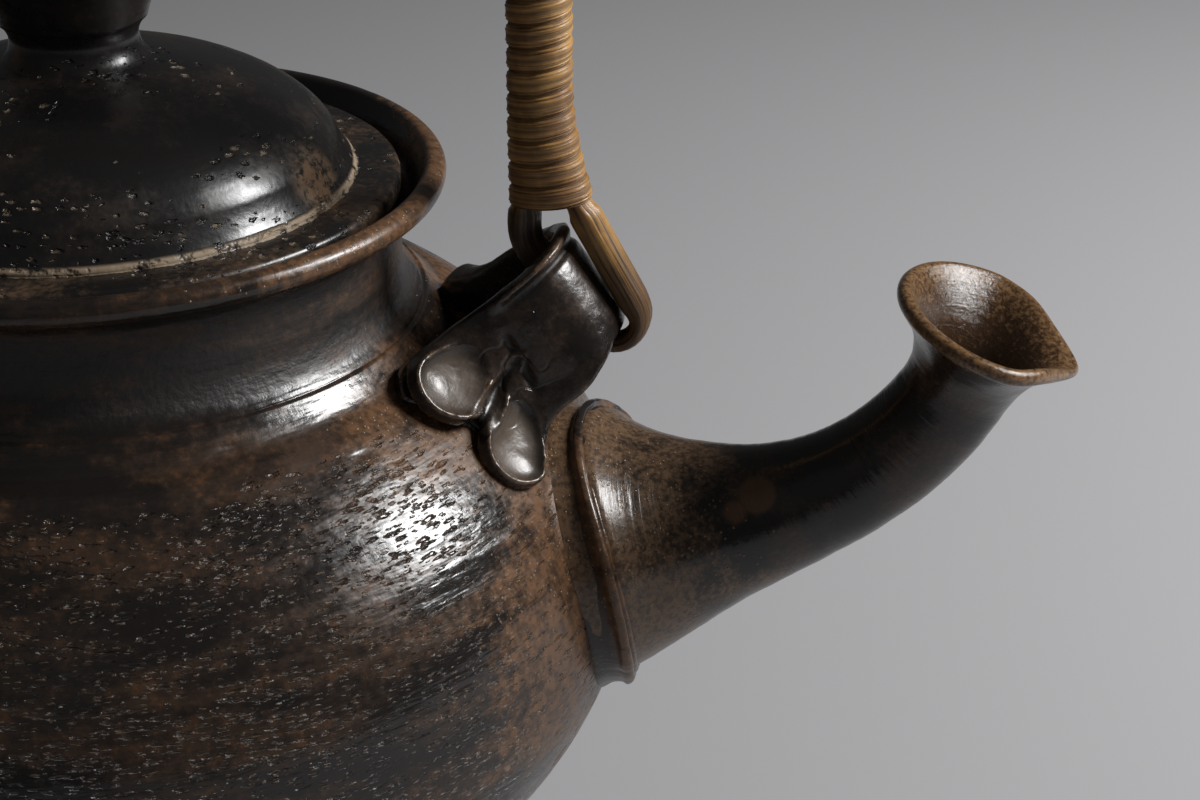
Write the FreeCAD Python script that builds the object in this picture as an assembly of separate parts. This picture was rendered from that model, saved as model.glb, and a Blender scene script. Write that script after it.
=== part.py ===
import FreeCAD, Part
import math
import os

# Stoneware teapot with a cane overhead handle, in millimetres.
# The origin is the centre of the foot, +X runs along the spout and +Z is up.

V = FreeCAD.Vector
CENTRE = V(0, 0, 0)
UP = V(0, 0, 1)
SIDE = V(0, 1, 0)
FORWARD = V(1, 0, 0)
SMALL = 0.01

# Vessel
belly_radius = 91.5
belly_height = 55.5
shoulder_rise = 62.1
belly_drop = 64.8
foot_radius = 49.5
foot_bevel = 2.2
wall = 5.5
floor_thick = 6.5

# Ridge, neck, rim and lid seat, each height counted from the one below it
ridge_step = 3.3
ridge_bead = 0.9
ridge_rise = 1.1
neck_radius = 52.0
neck_cove_rise = 9.5
neck_cove_middle = 3.4
neck_ease = 1.1
neck_length = 5.0
rim_rise = 11.0
rim_flare = 8.0
rim_under = 4.2
rim_cove_middle = 6.7
rim_ease = 1.4
rim_lip = 3.7
rim_inner_drop = 0.9
seat_depth = 6.0
seat_step = 6.9
neck_bore_length = 17.0
throat_flare = 3.5

# Lid
lid_gap = 0.3
lid_side_gap = 1.2
lid_flange_thick = 4.0
lid_edge_round = 1.2
lid_edge_bevel = 0.8
lid_step_inset = 1.6
lid_step = 0.4
lid_foot = 0.6
lid_cove = 1.0
lid_dome_inset = 5.1
lid_dome_rise = 20.8
lid_dome_trim = 0.6
lid_dome_flat = 6.0
lid_wall = 4.6
collar_gap = 0.8
collar_thick = 4.0
collar_length = 9.5
collar_draft = 0.6

# Knob, each rise counted from the top of the dome and each drop from the top of the knob
knob_foot_radius = 13.4
knob_foot_bury = 0.5
knob_sunk = 1.0
knob_cove_radius = 10.6
knob_cove_rise = 0.4
knob_waist_radius = 9.9
knob_waist_rise = 3.2
knob_neck_radius = 12.1
knob_neck_rise = 7.9
knob_head_radius = 15.6
knob_head_rise = 13.6
knob_brow_radius = 14.2
knob_brow_drop = 2.6
knob_shoulder_radius = 10.1
knob_shoulder_drop = 0.6
knob_crown_radius = 6.5
knob_crown_drop = 0.15
knob_flat = 3.0
knob_height = 19.6

# Spout
spout_root_inset = 7.0
spout_root_rise = 6.7
spout_rise_deg = 16.0
spout_straight = 27.0
spout_bend_radius = 60.0
spout_end_deg = 71.0
spout_neck = 3.0
spout_throat = 8.8
spout_swell = 19.0
spout_swell_middle = 15.5
spout_swell_fade = 11.5
spout_sunk = 14.0
spout_wall = 3.6
spout_tube_steps = 8
spout_lip_steps = 5
lip_wall = 2.4
lip_flare_length = 17.0
lip_flare_power = 2.2
lip_half_width = 21.4
lip_back = 17.2
lip_front = 13.4
lip_beak = 3.6
lip_beak_deg = 18.0
lip_round = 0.5
lip_points = 28
port_radius = 17.0

# Raised coil round the foot of the spout
coil_run = 3.6
coil_lift = 1.2
coil_tilt_deg = 3.0
coil_radius = 24.2
coil_height = 4.6
coil_push = 1.2
coil_sag = 4.0
coil_round = 1.8

# Strainer in the port
strainer_thick = 4.0
strainer_gap = 0.15
strainer_hole = 4.0
strainer_pitch = 6.8
strainer_rings = 2

# Lugs: a strap pressed on the shoulder with two thumb lobes at each end
lug_clear = 8.9
lug_rise = 26.7
lug_slope_deg = 55.0
strap_half_width = 9.2
strap_thick = 4.0
strap_edge_roll = 1.1
strap_square = 0.7
strap_crest_radius = 10.5
strap_lean_deg = 75.0
strap_leg = 13.0
strap_toe_radius = 8.0
strap_toe_deg = 18.0
strap_toe_run = 2.0
strap_toe_spread = 4.8
strap_toe_shift = 5.0
strap_points = 20
strap_steps = 7
lobe_inner_step = 1.1
lobe_inner_deg = 15.3
lobe_outer_step = 13.1
lobe_outer_deg = 11.2
lobe_radius = 6.9
lobe_height = 2.8
lobe_draft = 1.2
lobe_round = 1.3
lobe_dish = 1.8
lobe_dish_radius = 7.0

# Cane handle, each rise counted from the crest of the lug
arm_inset = 9.1
arm_rise = 48.8
cane_thick = 4.3
cane_width = 6.0
cane_gap = 0.1
loop_gap = 1.1
tail_rise = 34.8
tail_gap = 0.4
tuck_rise = 17.8
tuck_in = 0.8
tuck_round = 8.0
tuck_ease = 80.0
fork_rise = 17.2
fork_round = 5.0

# Split cane binding
binding_rise = 11.6
binding_wire = 1.1
binding_gap = 0.12
binding_break = 1.6
binding_turns = 24
fork_lead = 1.0
fork_lean = 0.45


def flat(x, z):
    return V(x, 0, z)


def line(start, end):
    return Part.LineSegment(start, end).toShape()


def arc(start, middle, end):
    return Part.Arc(start, middle, end).toShape()


# Arc that leaves and meets the two sides of a corner, from equal distances
def corner_arc(start, corner, end):
    weight = (corner - start).normalize().dot((end - start).normalize())
    middle = (start + end + corner * (2 * weight)) * (1 / (2 + 2 * weight))
    return arc(start, middle, end)


def oval_arc(radius, rise, centre_z, start_radius, end_radius):
    oval = Part.Ellipse(flat(radius, centre_z), flat(0, centre_z + rise), flat(0, centre_z))
    angles = sorted(math.acos(r / radius) for r in (start_radius, end_radius))
    return Part.ArcOfEllipse(oval, angles[0], angles[1]).toShape()


def oval_height(radius, rise, r):
    return rise * math.sqrt(1 - (r / radius) ** 2)


def oval_reach(radius, rise, z):
    return radius * math.sqrt(1 - (z / rise) ** 2)


def shoulder_z(r):
    return belly_height + oval_height(belly_radius, shoulder_rise, r)


def turned(edges):
    outline = Part.Wire(Part.__sortEdges__(edges))
    return Part.Face(outline).revolve(CENTRE, UP, 360)


def direction(angle_deg):
    angle = math.radians(angle_deg)
    return V(math.cos(angle), 0, math.sin(angle))


def closed_curve(points):
    curve = Part.BSplineCurve()
    curve.interpolate(points, PeriodicFlag=True)
    return Part.Wire(curve.toShape())


def at_rear(shape):
    return shape.mirror(CENTRE, FORWARD)


# Radii that follow from the neck, then heights and places that follow from the sizes above
ridge_radius = neck_radius + ridge_step
rim_radius = neck_radius + rim_flare
neck_bore = neck_radius - wall
seat_radius = neck_bore + seat_step
lid_step_radius = neck_bore - lid_step_inset
lid_dome_radius = neck_bore - lid_dome_inset
lid_dome_edge = lid_dome_radius - lid_dome_trim
lug_radius = ridge_radius + lug_clear
lobe_inner_radius = lug_radius + lobe_inner_step
lobe_outer_radius = lug_radius + lobe_outer_step
ridge_edge = ridge_radius + ridge_bead
ridge_z = shoulder_z(ridge_edge)
neck_low = ridge_z + neck_cove_rise
neck_high = neck_low + neck_length
rim_height = neck_high + rim_rise
seat_z = rim_height - seat_depth
lid_base = seat_z + lid_gap
lid_top = lid_base + lid_flange_thick
dome_base = lid_top + lid_foot
dome_top = dome_base + lid_dome_rise
spout_root = flat(belly_radius - spout_root_inset, belly_height + spout_root_rise)
lug_along = direction(-lug_slope_deg)
lug_outward = direction(90 - lug_slope_deg)
lug_crest = flat(lug_radius, shoulder_z(lug_radius)) + lug_outward * lug_rise
arm_x = lug_crest.x - arm_inset
cane_inner_x = arm_x - (cane_thick + cane_gap) / 2
cane_outer_x = arm_x + (cane_thick + cane_gap) / 2
arch_z = lug_crest.z + arm_rise
fork = flat(cane_outer_x, lug_crest.z + fork_rise)
tail_z = lug_crest.z + tail_rise
tuck_z = lug_crest.z + tuck_rise
binding_z = lug_crest.z + binding_rise
bound_length = 2 * (arch_z - binding_z) + math.pi * arm_x


# Outside of the belly, shoulder, neck and rim, from the foot upwards
def vessel_outside():
    foot_edge = oval_reach(belly_radius, belly_drop, belly_height - foot_bevel)
    ridge_foot = flat(ridge_edge, ridge_z)
    ridge_top = flat(ridge_radius, ridge_z + ridge_rise)
    neck_foot = flat(ridge_radius - ridge_bead, ridge_z + ridge_bead)
    neck_cove = flat(neck_radius + neck_ease, ridge_z + neck_cove_middle)
    rim_cove = flat(neck_radius + rim_ease, rim_height - rim_cove_middle)
    rim_edge = flat(rim_radius, rim_height - rim_under / 2)
    under = flat(rim_radius - rim_under / 2, rim_height - rim_under)
    crown = flat(rim_radius - rim_lip / 2, rim_height)
    return [
        line(CENTRE, flat(foot_radius, 0)),
        line(flat(foot_radius, 0), flat(foot_edge, foot_bevel)),
        oval_arc(belly_radius, -belly_drop, belly_height, foot_edge, belly_radius),
        oval_arc(belly_radius, shoulder_rise, belly_height, belly_radius, ridge_edge),
        arc(ridge_foot, ridge_top, neck_foot),
        arc(neck_foot, neck_cove, flat(neck_radius, neck_low)),
        line(flat(neck_radius, neck_low), flat(neck_radius, neck_high)),
        arc(flat(neck_radius, neck_high), rim_cove, under),
        arc(under, rim_edge, crown),
    ]


def vessel_block():
    crown = flat(rim_radius - rim_lip / 2, rim_height)
    closing = [line(crown, flat(0, rim_height)), line(flat(0, rim_height), CENTRE)]
    return turned(vessel_outside() + closing)


# Inner lip, lid seat, neck bore and cavity, from the rim downwards
def vessel_inside():
    bore_end = seat_z - neck_bore_length
    cavity_radius = belly_radius - wall
    cavity_rise = shoulder_rise - wall
    cavity_drop = belly_drop - wall
    throat_edge = neck_bore + throat_flare
    throat_z = belly_height + oval_height(cavity_radius, cavity_rise, throat_edge)
    floor_edge = oval_reach(cavity_radius, cavity_drop, belly_height - floor_thick)
    crown = flat(rim_radius - rim_lip / 2, rim_height)
    inner_lip = flat(rim_radius - rim_lip, rim_height - rim_inner_drop)
    return [
        corner_arc(crown, flat(rim_radius - rim_lip, rim_height), inner_lip),
        line(inner_lip, flat(seat_radius, seat_z)),
        line(flat(seat_radius, seat_z), flat(neck_bore, seat_z)),
        line(flat(neck_bore, seat_z), flat(neck_bore, bore_end)),
        line(flat(neck_bore, bore_end), flat(throat_edge, throat_z)),
        oval_arc(cavity_radius, cavity_rise, belly_height, throat_edge, cavity_radius),
        oval_arc(cavity_radius, -cavity_drop, belly_height, cavity_radius, floor_edge),
        line(flat(floor_edge, floor_thick), flat(0, floor_thick)),
        line(flat(0, floor_thick), CENTRE),
    ]


# Cylinder along the spout's first run, through the wall
def spout_port(radius, middle):
    axis = direction(spout_rise_deg)
    reach = 3 * wall
    return Part.makeCylinder(radius, 2 * reach, middle - axis * reach, axis)


def make_pot_body():
    return turned(vessel_outside() + vessel_inside()).cut(spout_port(port_radius, spout_root))


# Solid that follows the outside of the wall, offset outwards from it
def wall_oval(offset):
    radius = belly_radius + offset
    halves = [
        oval_arc(radius, shoulder_rise + offset, belly_height, 0, radius),
        oval_arc(radius, -belly_drop - offset, belly_height, 0, radius),
    ]
    top = flat(0, belly_height + shoulder_rise + offset)
    bottom = flat(0, belly_height - belly_drop - offset)
    return turned(halves + [line(top, bottom)])


# Pierced plate that fills the port: one hole in the middle and rings of six, twelve and so on
def make_strainer():
    inset = (wall - strainer_thick) / 2
    plate = wall_oval(-inset).cut(wall_oval(-inset - strainer_thick))
    plate = plate.common(spout_port(port_radius - strainer_gap, spout_root))
    upward = direction(spout_rise_deg + 90)
    holes = [spout_port(strainer_hole / 2, spout_root)]
    for ring in range(1, strainer_rings + 1):
        count = 6 * ring
        for step in range(count):
            angle = 2 * math.pi * step / count
            spot = (SIDE * math.cos(angle) + upward * math.sin(angle)) * (ring * strainer_pitch)
            holes.append(spout_port(strainer_hole / 2, spout_root + spot))
    return plate.cut(Part.makeCompound(holes))


# Centre and direction of the spout at a distance along it
def spout_axis(run):
    heading = direction(spout_rise_deg)
    if run <= spout_straight:
        return spout_root + heading * run, spout_rise_deg
    whole_bend = math.radians(spout_end_deg - spout_rise_deg)
    bend = min((run - spout_straight) / spout_bend_radius, whole_bend)
    angle = spout_rise_deg + math.degrees(bend)
    hub = spout_root + heading * spout_straight + direction(spout_rise_deg + 90) * spout_bend_radius
    beyond = run - spout_straight - bend * spout_bend_radius
    return hub - direction(angle + 90) * spout_bend_radius + direction(angle) * beyond, angle


def spout_length():
    bend = math.radians(spout_end_deg - spout_rise_deg)
    return spout_straight + spout_bend_radius * bend + spout_neck


# One section of the spout, made smaller by the wall for its bore
def spout_section(run, inset):
    centre, angle = spout_axis(run)
    outward = direction(angle - 90)
    tube = spout_throat + spout_swell / (1 + math.exp((run - spout_swell_middle) / spout_swell_fade))
    opened = max(0.0, 1 + (run - spout_length()) / lip_flare_length) ** lip_flare_power
    points = []
    for step in range(lip_points):
        turn = 2 * math.pi * step / lip_points
        from_front = min(turn, 2 * math.pi - turn) / math.radians(lip_beak_deg)
        reach = lip_front if math.cos(turn) > 0 else lip_back
        beak = lip_beak * opened * math.exp(-from_front ** 2)
        along = (tube + (reach - tube) * opened - inset) * math.cos(turn) + beak
        sideways = (tube + (lip_half_width - tube) * opened - inset) * math.sin(turn)
        points.append(centre + outward * along + SIDE * sideways)
    return closed_curve(points)


def spout_runs():
    flare_start = spout_length() - lip_flare_length
    tube_step = (flare_start + spout_sunk) / spout_tube_steps
    lip_step = lip_flare_length / spout_lip_steps
    runs = [tube_step * step - spout_sunk for step in range(spout_tube_steps + 1)]
    return runs + [flare_start + lip_step * step for step in range(1, spout_lip_steps + 1)]


def spout_block():
    return Part.makeLoft([spout_section(run, 0) for run in spout_runs()], True)


def spout_bore():
    length = spout_length()
    sections = []
    for run in spout_runs():
        inset = spout_wall + (lip_wall - spout_wall) * max(0.0, run / length)
        sections.append(spout_section(run, inset))
    sections.append(spout_section(length + lip_wall, lip_wall))
    return Part.makeLoft(sections, True)


def make_spout(vessel, block):
    tube = block.cut(spout_bore()).cut(vessel)
    mouth, angle = spout_axis(spout_length())
    rim_edges = []
    for edge in tube.Edges:
        heights = [abs((v.Point - mouth).dot(direction(angle))) for v in edge.Vertexes]
        if max(heights) < SMALL and edge.Length > lip_half_width:
            rim_edges.append(edge)
    return tube.makeFillet(lip_round, rim_edges)


# Band of clay that follows the wall round the spout, with its outer edge rounded
def make_spout_coil(vessel, block):
    axis = direction(spout_rise_deg + coil_tilt_deg)
    middle = spout_axis(coil_run)[0] + direction(spout_rise_deg + 90) * coil_lift
    start = middle - axis * coil_radius
    drum = Part.makeCylinder(coil_radius, 2 * coil_radius, start, axis)
    clay = wall_oval(coil_height)
    clay.translate(V(coil_push, 0, -coil_sag))
    band = clay.common(drum)
    crest = []
    for edge in band.Edges:
        reach = edge.valueAt(edge.FirstParameter) - start
        height = reach.dot(axis)
        curved = edge.Curve.TypeId != "Part::GeomLine"
        on_drum = abs((reach - axis * height).Length - coil_radius) < SMALL
        if curved and on_drum and height > SMALL:
            crest.append(edge)
    return band.makeFillet(coil_round, crest).cut(vessel).cut(block)


# Sideways place, drop and lean of the strap's middle at a distance from its crest
def strap_path(run):
    lean = math.radians(strap_lean_deg)
    toe = math.radians(strap_toe_deg)
    crest_run = strap_crest_radius * lean
    toe_run = strap_toe_radius * (lean - toe)
    angle = min(run, crest_run) / strap_crest_radius
    sideways = strap_crest_radius * math.sin(angle)
    drop = strap_crest_radius * (1 - math.cos(angle))
    leg = max(0.0, min(run - crest_run, strap_leg))
    sideways += leg * math.cos(lean)
    drop += leg * math.sin(lean)
    turn = max(0.0, min(run - crest_run - strap_leg, toe_run)) / strap_toe_radius
    if turn > 0:
        angle = lean - turn
        sideways += strap_toe_radius * (math.sin(lean) - math.sin(angle))
        drop += strap_toe_radius * (math.cos(angle) - math.cos(lean))
    end = max(0.0, run - crest_run - strap_leg - toe_run)
    sideways += end * math.cos(angle)
    drop += end * math.sin(angle)
    return sideways, drop, angle


def strap_length():
    lean = math.radians(strap_lean_deg)
    toe = math.radians(strap_toe_deg)
    return strap_crest_radius * lean + strap_leg + strap_toe_radius * (lean - toe) + strap_toe_run


# One section of the strap: a rounded band with its two edges rolled up
def strap_section(run):
    sideways, drop, angle = strap_path(abs(run))
    facing = math.copysign(1, run)
    share = abs(run) / strap_length()
    normal = lug_outward * math.cos(angle) + SIDE * (facing * math.sin(angle))
    middle = lug_crest - lug_outward * (drop + strap_thick / 2) + SIDE * (facing * sideways)
    middle += lug_along * (strap_toe_shift * share ** 2)
    half_width = strap_half_width + strap_toe_spread * share ** 3
    points = []
    for step in range(strap_points):
        turn = 2 * math.pi * step / strap_points
        across = math.copysign(abs(math.cos(turn)) ** strap_square, math.cos(turn))
        lift = math.copysign(abs(math.sin(turn)) ** strap_square, math.sin(turn)) * strap_thick / 2
        if lift > 0:
            lift += strap_edge_roll * across ** 4 * (1 - share)
        points.append(middle + lug_along * (across * half_width) + normal * lift)
    return closed_curve(points)


# Thumb-pressed lobe on the shoulder, dished on top
def lobe(radius, angle_deg):
    angle = math.radians(angle_deg)
    rise = oval_height(belly_radius, shoulder_rise, radius)
    outward = V(math.cos(angle), math.sin(angle), 0)
    spot = outward * radius + UP * (belly_height + rise)
    normal = (outward * (radius / belly_radius ** 2) + UP * (rise / shoulder_rise ** 2)).normalize()
    base = flat(lobe_radius - lobe_draft, -lobe_height)
    side_top = flat(lobe_radius, lobe_height - lobe_round)
    top_edge = flat(lobe_radius - lobe_round, lobe_height)
    outline = [
        line(flat(0, -lobe_height), base),
        line(base, side_top),
        corner_arc(side_top, flat(lobe_radius, lobe_height), top_edge),
        line(top_edge, flat(0, lobe_height)),
        line(flat(0, lobe_height), flat(0, -lobe_height)),
    ]
    pad = turned(outline)
    pad.Placement = FreeCAD.Placement(spot, FreeCAD.Rotation(UP, normal))
    dish_middle = spot + normal * (lobe_height - lobe_dish + lobe_dish_radius)
    return pad.cut(Part.makeSphere(lobe_dish_radius, dish_middle))


def make_lug(vessel):
    step_length = strap_length() / strap_steps
    runs = [step_length * step for step in range(-strap_steps, strap_steps + 1)]
    strap = Part.makeLoft([strap_section(run) for run in runs], True)
    places = ((lobe_inner_radius, lobe_inner_deg), (lobe_outer_radius, lobe_outer_deg))
    lobes = [lobe(radius, side * angle) for radius, angle in places for side in (1, -1)]
    return strap.fuse(lobes).cut(vessel)


# Lid with a seated flange, a locating collar and a hollow dome, from the crown outwards and back
def make_lid():
    edge = seat_radius - lid_side_gap
    collar = neck_bore - collar_gap
    collar_end = lid_base - collar_length
    collar_inside = collar - collar_thick
    hollow_radius = lid_dome_radius - lid_wall
    hollow_rise = lid_dome_rise - lid_wall
    crown_z = dome_base + oval_height(lid_dome_radius, lid_dome_rise, lid_dome_flat)
    under_z = dome_base + oval_height(hollow_radius, hollow_rise, lid_dome_flat)
    dome_edge = flat(lid_dome_edge, dome_base + oval_height(lid_dome_radius, lid_dome_rise, lid_dome_edge))
    cove = flat(lid_dome_radius + lid_cove, dome_base + lid_cove)
    step = flat(lid_step_radius, lid_top + lid_step)
    edge_top = flat(edge - lid_edge_round, lid_top)
    edge_side = flat(edge, lid_top - lid_edge_round)
    bevel_top = flat(edge, lid_base + lid_edge_bevel)
    bevel_end = flat(edge - lid_edge_bevel, lid_base)
    collar_outer = flat(collar - collar_draft, collar_end)
    collar_inner = flat(collar_inside + collar_draft, collar_end)
    outline = [
        line(flat(0, crown_z), flat(lid_dome_flat, crown_z)),
        oval_arc(lid_dome_radius, lid_dome_rise, dome_base, lid_dome_flat, lid_dome_edge),
        arc(dome_edge, cove, step),
        line(step, flat(lid_step_radius, lid_top)),
        line(flat(lid_step_radius, lid_top), edge_top),
        corner_arc(edge_top, flat(edge, lid_top), edge_side),
        line(edge_side, bevel_top),
        line(bevel_top, bevel_end),
        line(bevel_end, flat(collar, lid_base)),
        line(flat(collar, lid_base), collar_outer),
        line(collar_outer, collar_inner),
        line(collar_inner, flat(hollow_radius, lid_base)),
        line(flat(hollow_radius, lid_base), flat(hollow_radius, dome_base)),
        oval_arc(hollow_radius, hollow_rise, dome_base, lid_dome_flat, hollow_radius),
        line(flat(lid_dome_flat, under_z), flat(0, under_z)),
        line(flat(0, under_z), flat(0, crown_z)),
    ]
    return turned(outline)


def make_knob(lid):
    top_z = dome_top + knob_height
    foot_z = dome_base + oval_height(lid_dome_radius, lid_dome_rise, knob_foot_radius) - knob_foot_bury
    root = flat(knob_foot_radius, foot_z - knob_sunk)
    foot = flat(knob_foot_radius, foot_z)
    waist = flat(knob_waist_radius, dome_top + knob_waist_rise)
    head = flat(knob_head_radius, dome_top + knob_head_rise)
    brow = flat(knob_brow_radius, top_z - knob_brow_drop)
    shoulder = flat(knob_shoulder_radius, top_z - knob_shoulder_drop)
    crown = flat(knob_crown_radius, top_z - knob_crown_drop)
    outline = [
        line(flat(0, root.z), root),
        line(root, foot),
        arc(foot, flat(knob_cove_radius, dome_top + knob_cove_rise), waist),
        arc(waist, flat(knob_neck_radius, dome_top + knob_neck_rise), head),
        arc(head, brow, shoulder),
        arc(shoulder, crown, flat(knob_flat, top_z)),
        line(flat(knob_flat, top_z), flat(0, top_z)),
        line(flat(0, top_z), flat(0, root.z)),
    ]
    return turned(outline).cut(lid)


# Straight runs with their corners rounded by tangent arcs
def rounded_path(points, radii):
    edges = []
    start = points[0]
    for corner, after, radius in zip(points[1:-1], points[2:], radii):
        inward = (start - corner).normalize()
        onward = (after - corner).normalize()
        reach = radius / math.tan(inward.getAngle(onward) / 2)
        edges.append(line(start, corner + inward * reach))
        edges.append(corner_arc(corner + inward * reach, corner, corner + onward * reach))
        start = corner + onward * reach
    edges.append(line(start, points[-1]))
    return edges


# Hook of the cane round the strap's outer edge: its hub and radius, and where it starts and ends
def cane_hook():
    edge_radius = strap_thick / 2
    hub = lug_crest - lug_outward * edge_radius + lug_along * (strap_half_width - edge_radius)
    radius = edge_radius + loop_gap + cane_thick / 2
    reach = fork - hub
    bearing = math.atan2(reach.z, reach.x) + math.asin(radius / reach.Length)
    leave = hub + direction(math.degrees(bearing) - 90) * radius
    return hub, radius, hub - lug_outward * radius, leave


# Front half of the handle cane: its tail, the tuck under the strap, the hook and the rise to the arch
def cane_front():
    hub, radius, enter, leave = cane_hook()
    tuck = enter - lug_along * ((enter.x - cane_inner_x + tuck_in) / lug_along.x)
    tail = [flat(cane_inner_x, tail_z), flat(cane_inner_x, tuck_z), tuck, enter]
    middle = hub + ((enter - hub) + (leave - hub) + lug_along * radius).normalize() * radius
    edges = rounded_path(tail, [tuck_ease, tuck_round])
    edges.append(arc(enter, middle, leave))
    return edges + rounded_path([leave, fork, flat(cane_outer_x, arch_z)], [fork_round])


def cane_along(edges, start):
    section = Part.Ellipse(start + SIDE * (cane_width / 2), start + FORWARD * (cane_thick / 2), start)
    path = Part.Wire(Part.__sortEdges__(edges))
    return path.makePipeShell([Part.Wire(section.toShape())], True, False)


def arch(radius):
    return arc(flat(radius, arch_z), flat(0, arch_z + radius), flat(-radius, arch_z))


def make_handle_cane():
    front = cane_front()
    rear = [at_rear(edge) for edge in front]
    return cane_along(front + [arch(cane_outer_x)] + rear, flat(cane_inner_x, tail_z))


def make_filler_cane():
    start = flat(cane_inner_x, tail_z + tail_gap)
    arm = line(start, flat(cane_inner_x, arch_z))
    return cane_along([arm, arch(cane_inner_x), at_rear(arm)], start)


# Middle, outward direction and half sizes of the bound canes at a distance along the handle
def bundle(run):
    arm_length = arch_z - binding_z
    near = min(run, bound_length - run)
    half_side = cane_thick + cane_gap / 2 + binding_gap + binding_wire / 2
    half_long = half_side
    if near <= arm_length:
        z = binding_z + near
        leave = cane_hook()[3]
        slope = (leave.x - cane_outer_x) / (fork.z - leave.z)
        spread = slope * max(0.0, fork.z + fork_lead - z)
        spread += fork_lean * min(1.0, spread)
        bent = tuck_in * max(0.0, tuck_z - z) / tuck_rise
        half_long += (spread + bent) / 2
        middle = flat(arm_x + (spread - bent) / 2, z)
        outward = FORWARD
    else:
        outward = direction(math.degrees((near - arm_length) / arm_x))
        middle = flat(0, arch_z) + outward * arm_x
    if run > bound_length / 2:
        middle = V(-middle.x, 0, middle.z)
        outward = V(-outward.x, 0, outward.z)
    return middle, outward, half_long, half_side


def binding_point(start, pitch, turn):
    middle, outward, half_long, half_side = bundle(start + pitch * turn / (2 * math.pi))
    return middle + outward * (half_long * math.cos(turn)) + SIDE * (half_side * math.sin(turn))


# Two tangent arcs between two points with given headings
def biarc(start, heading, end, arriving):
    gap = end - start
    total = heading + arriving
    bend = 2 * (1 - heading.dot(arriving))
    reach = (math.sqrt(gap.dot(total) ** 2 + bend * gap.dot(gap)) - gap.dot(total)) / bend
    join = (start + heading * reach + end - arriving * reach) * 0.5
    return [corner_arc(start, start + heading * reach, join), corner_arc(join, end - arriving * reach, end)]


# One unbroken strand wound round both canes, with straight ends one strand long
def make_binding(name, start, length):
    pitch = length / binding_turns
    nudge = 1e-4
    knots = []
    for step in range(4 * binding_turns + 1):
        turn = step * math.pi / 2
        ahead = binding_point(start, pitch, turn + nudge)
        behind = binding_point(start, pitch, turn - nudge)
        knots.append((binding_point(start, pitch, turn), (ahead - behind).normalize()))
    first, leaving = knots[0]
    last, arriving = knots[-1]
    edges = [line(first - leaving * binding_wire, first)]
    for (spot, heading), (end, final) in zip(knots[:-1], knots[1:]):
        edges += biarc(spot, heading, end, final)
    edges.append(line(last, last + arriving * binding_wire))
    points = []
    for edge in edges[1:-1]:
        points.append(edge.valueAt(edge.FirstParameter))
        points.append(edge.valueAt((edge.FirstParameter + edge.LastParameter) / 2))
    half_turn = 8
    least = min((p - q).Length for i, p in enumerate(points) for q in points[i + half_turn:i + 5 * half_turn])
    print(name, "least gap between turns", round(least - binding_wire, 2))
    section = Part.Wire(Part.Circle(first - leaving * binding_wire, leaving, binding_wire / 2).toShape())
    return Part.Wire(edges).makePipeShell([section], True, False)


def make_bindings():
    names = ["front_binding", "front_bend_binding", "grip_binding", "rear_bend_binding", "rear_binding"]
    share = bound_length / len(names)
    bindings = {}
    for number, name in enumerate(names):
        start = number * share + binding_break / 2
        bindings[name] = make_binding(name, start, share - binding_break)
    return bindings


vessel = vessel_block()
block = spout_block()
lid = make_lid()
spout_coil = make_spout_coil(vessel, block)
lug = make_lug(vessel)

# The front lug stops at the spout and its coil where it reaches them
nodes = {
    "pot_body": make_pot_body(),
    "spout": make_spout(vessel, block),
    "spout_coil": spout_coil,
    "spout_strainer": make_strainer(),
    "front_lug": lug.cut(spout_coil).cut(block),
    "rear_lug": at_rear(lug),
    "lid": lid,
    "lid_knob": make_knob(lid),
    "handle_cane": make_handle_cane(),
    "filler_cane": make_filler_cane(),
}
nodes.update(make_bindings())

os.makedirs("parts", exist_ok=True)
for name, shape in nodes.items():
    print(name, len(shape.Solids), "solid", shape.isValid(), round(shape.Volume / 1000, 2), "cm3")
    shape.exportStep("parts/" + name + ".step")
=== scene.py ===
import math
import bmesh
import bpy
import numpy as np
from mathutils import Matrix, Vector
from mathutils.kdtree import KDTree


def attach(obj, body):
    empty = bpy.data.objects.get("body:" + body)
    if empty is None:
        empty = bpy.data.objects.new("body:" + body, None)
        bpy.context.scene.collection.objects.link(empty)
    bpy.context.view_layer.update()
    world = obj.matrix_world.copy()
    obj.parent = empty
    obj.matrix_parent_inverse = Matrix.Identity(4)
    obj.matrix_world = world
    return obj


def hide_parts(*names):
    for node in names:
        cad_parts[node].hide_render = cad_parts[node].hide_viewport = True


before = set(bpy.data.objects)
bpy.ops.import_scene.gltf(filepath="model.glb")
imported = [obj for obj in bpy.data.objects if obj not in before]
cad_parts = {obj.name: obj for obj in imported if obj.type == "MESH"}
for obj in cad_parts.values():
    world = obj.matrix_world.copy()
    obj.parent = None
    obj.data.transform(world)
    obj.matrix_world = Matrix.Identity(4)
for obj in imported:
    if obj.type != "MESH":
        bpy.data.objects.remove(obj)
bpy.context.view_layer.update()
mm = 0.001  # shapes are worked out in millimetres and made in metres
print("frame loaded with", len(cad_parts), "nodes")


# Node tree helpers: a socket is linked, anything else is set
def join(tree, value, socket):
    if isinstance(value, bpy.types.NodeSocket):
        tree.links.new(value, socket)
    else:
        socket.default_value = value


def put(tree, kind, sockets=None, **settings):
    node = tree.nodes.new(kind)
    for key, value in settings.items():
        setattr(node, key, value)
    for key, value in (sockets or {}).items():
        join(tree, value, node.inputs[key])
    return node


def maths(tree, operation, first, second=0.0, third=0.0):
    return put(tree, "ShaderNodeMath", {0: first, 1: second, 2: third}, operation=operation).outputs[0]


def plus(tree, first, second):
    return maths(tree, "ADD", first, second)


def minus(tree, first, second):
    return maths(tree, "SUBTRACT", first, second)


def times(tree, first, second):
    return maths(tree, "MULTIPLY", first, second)


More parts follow.
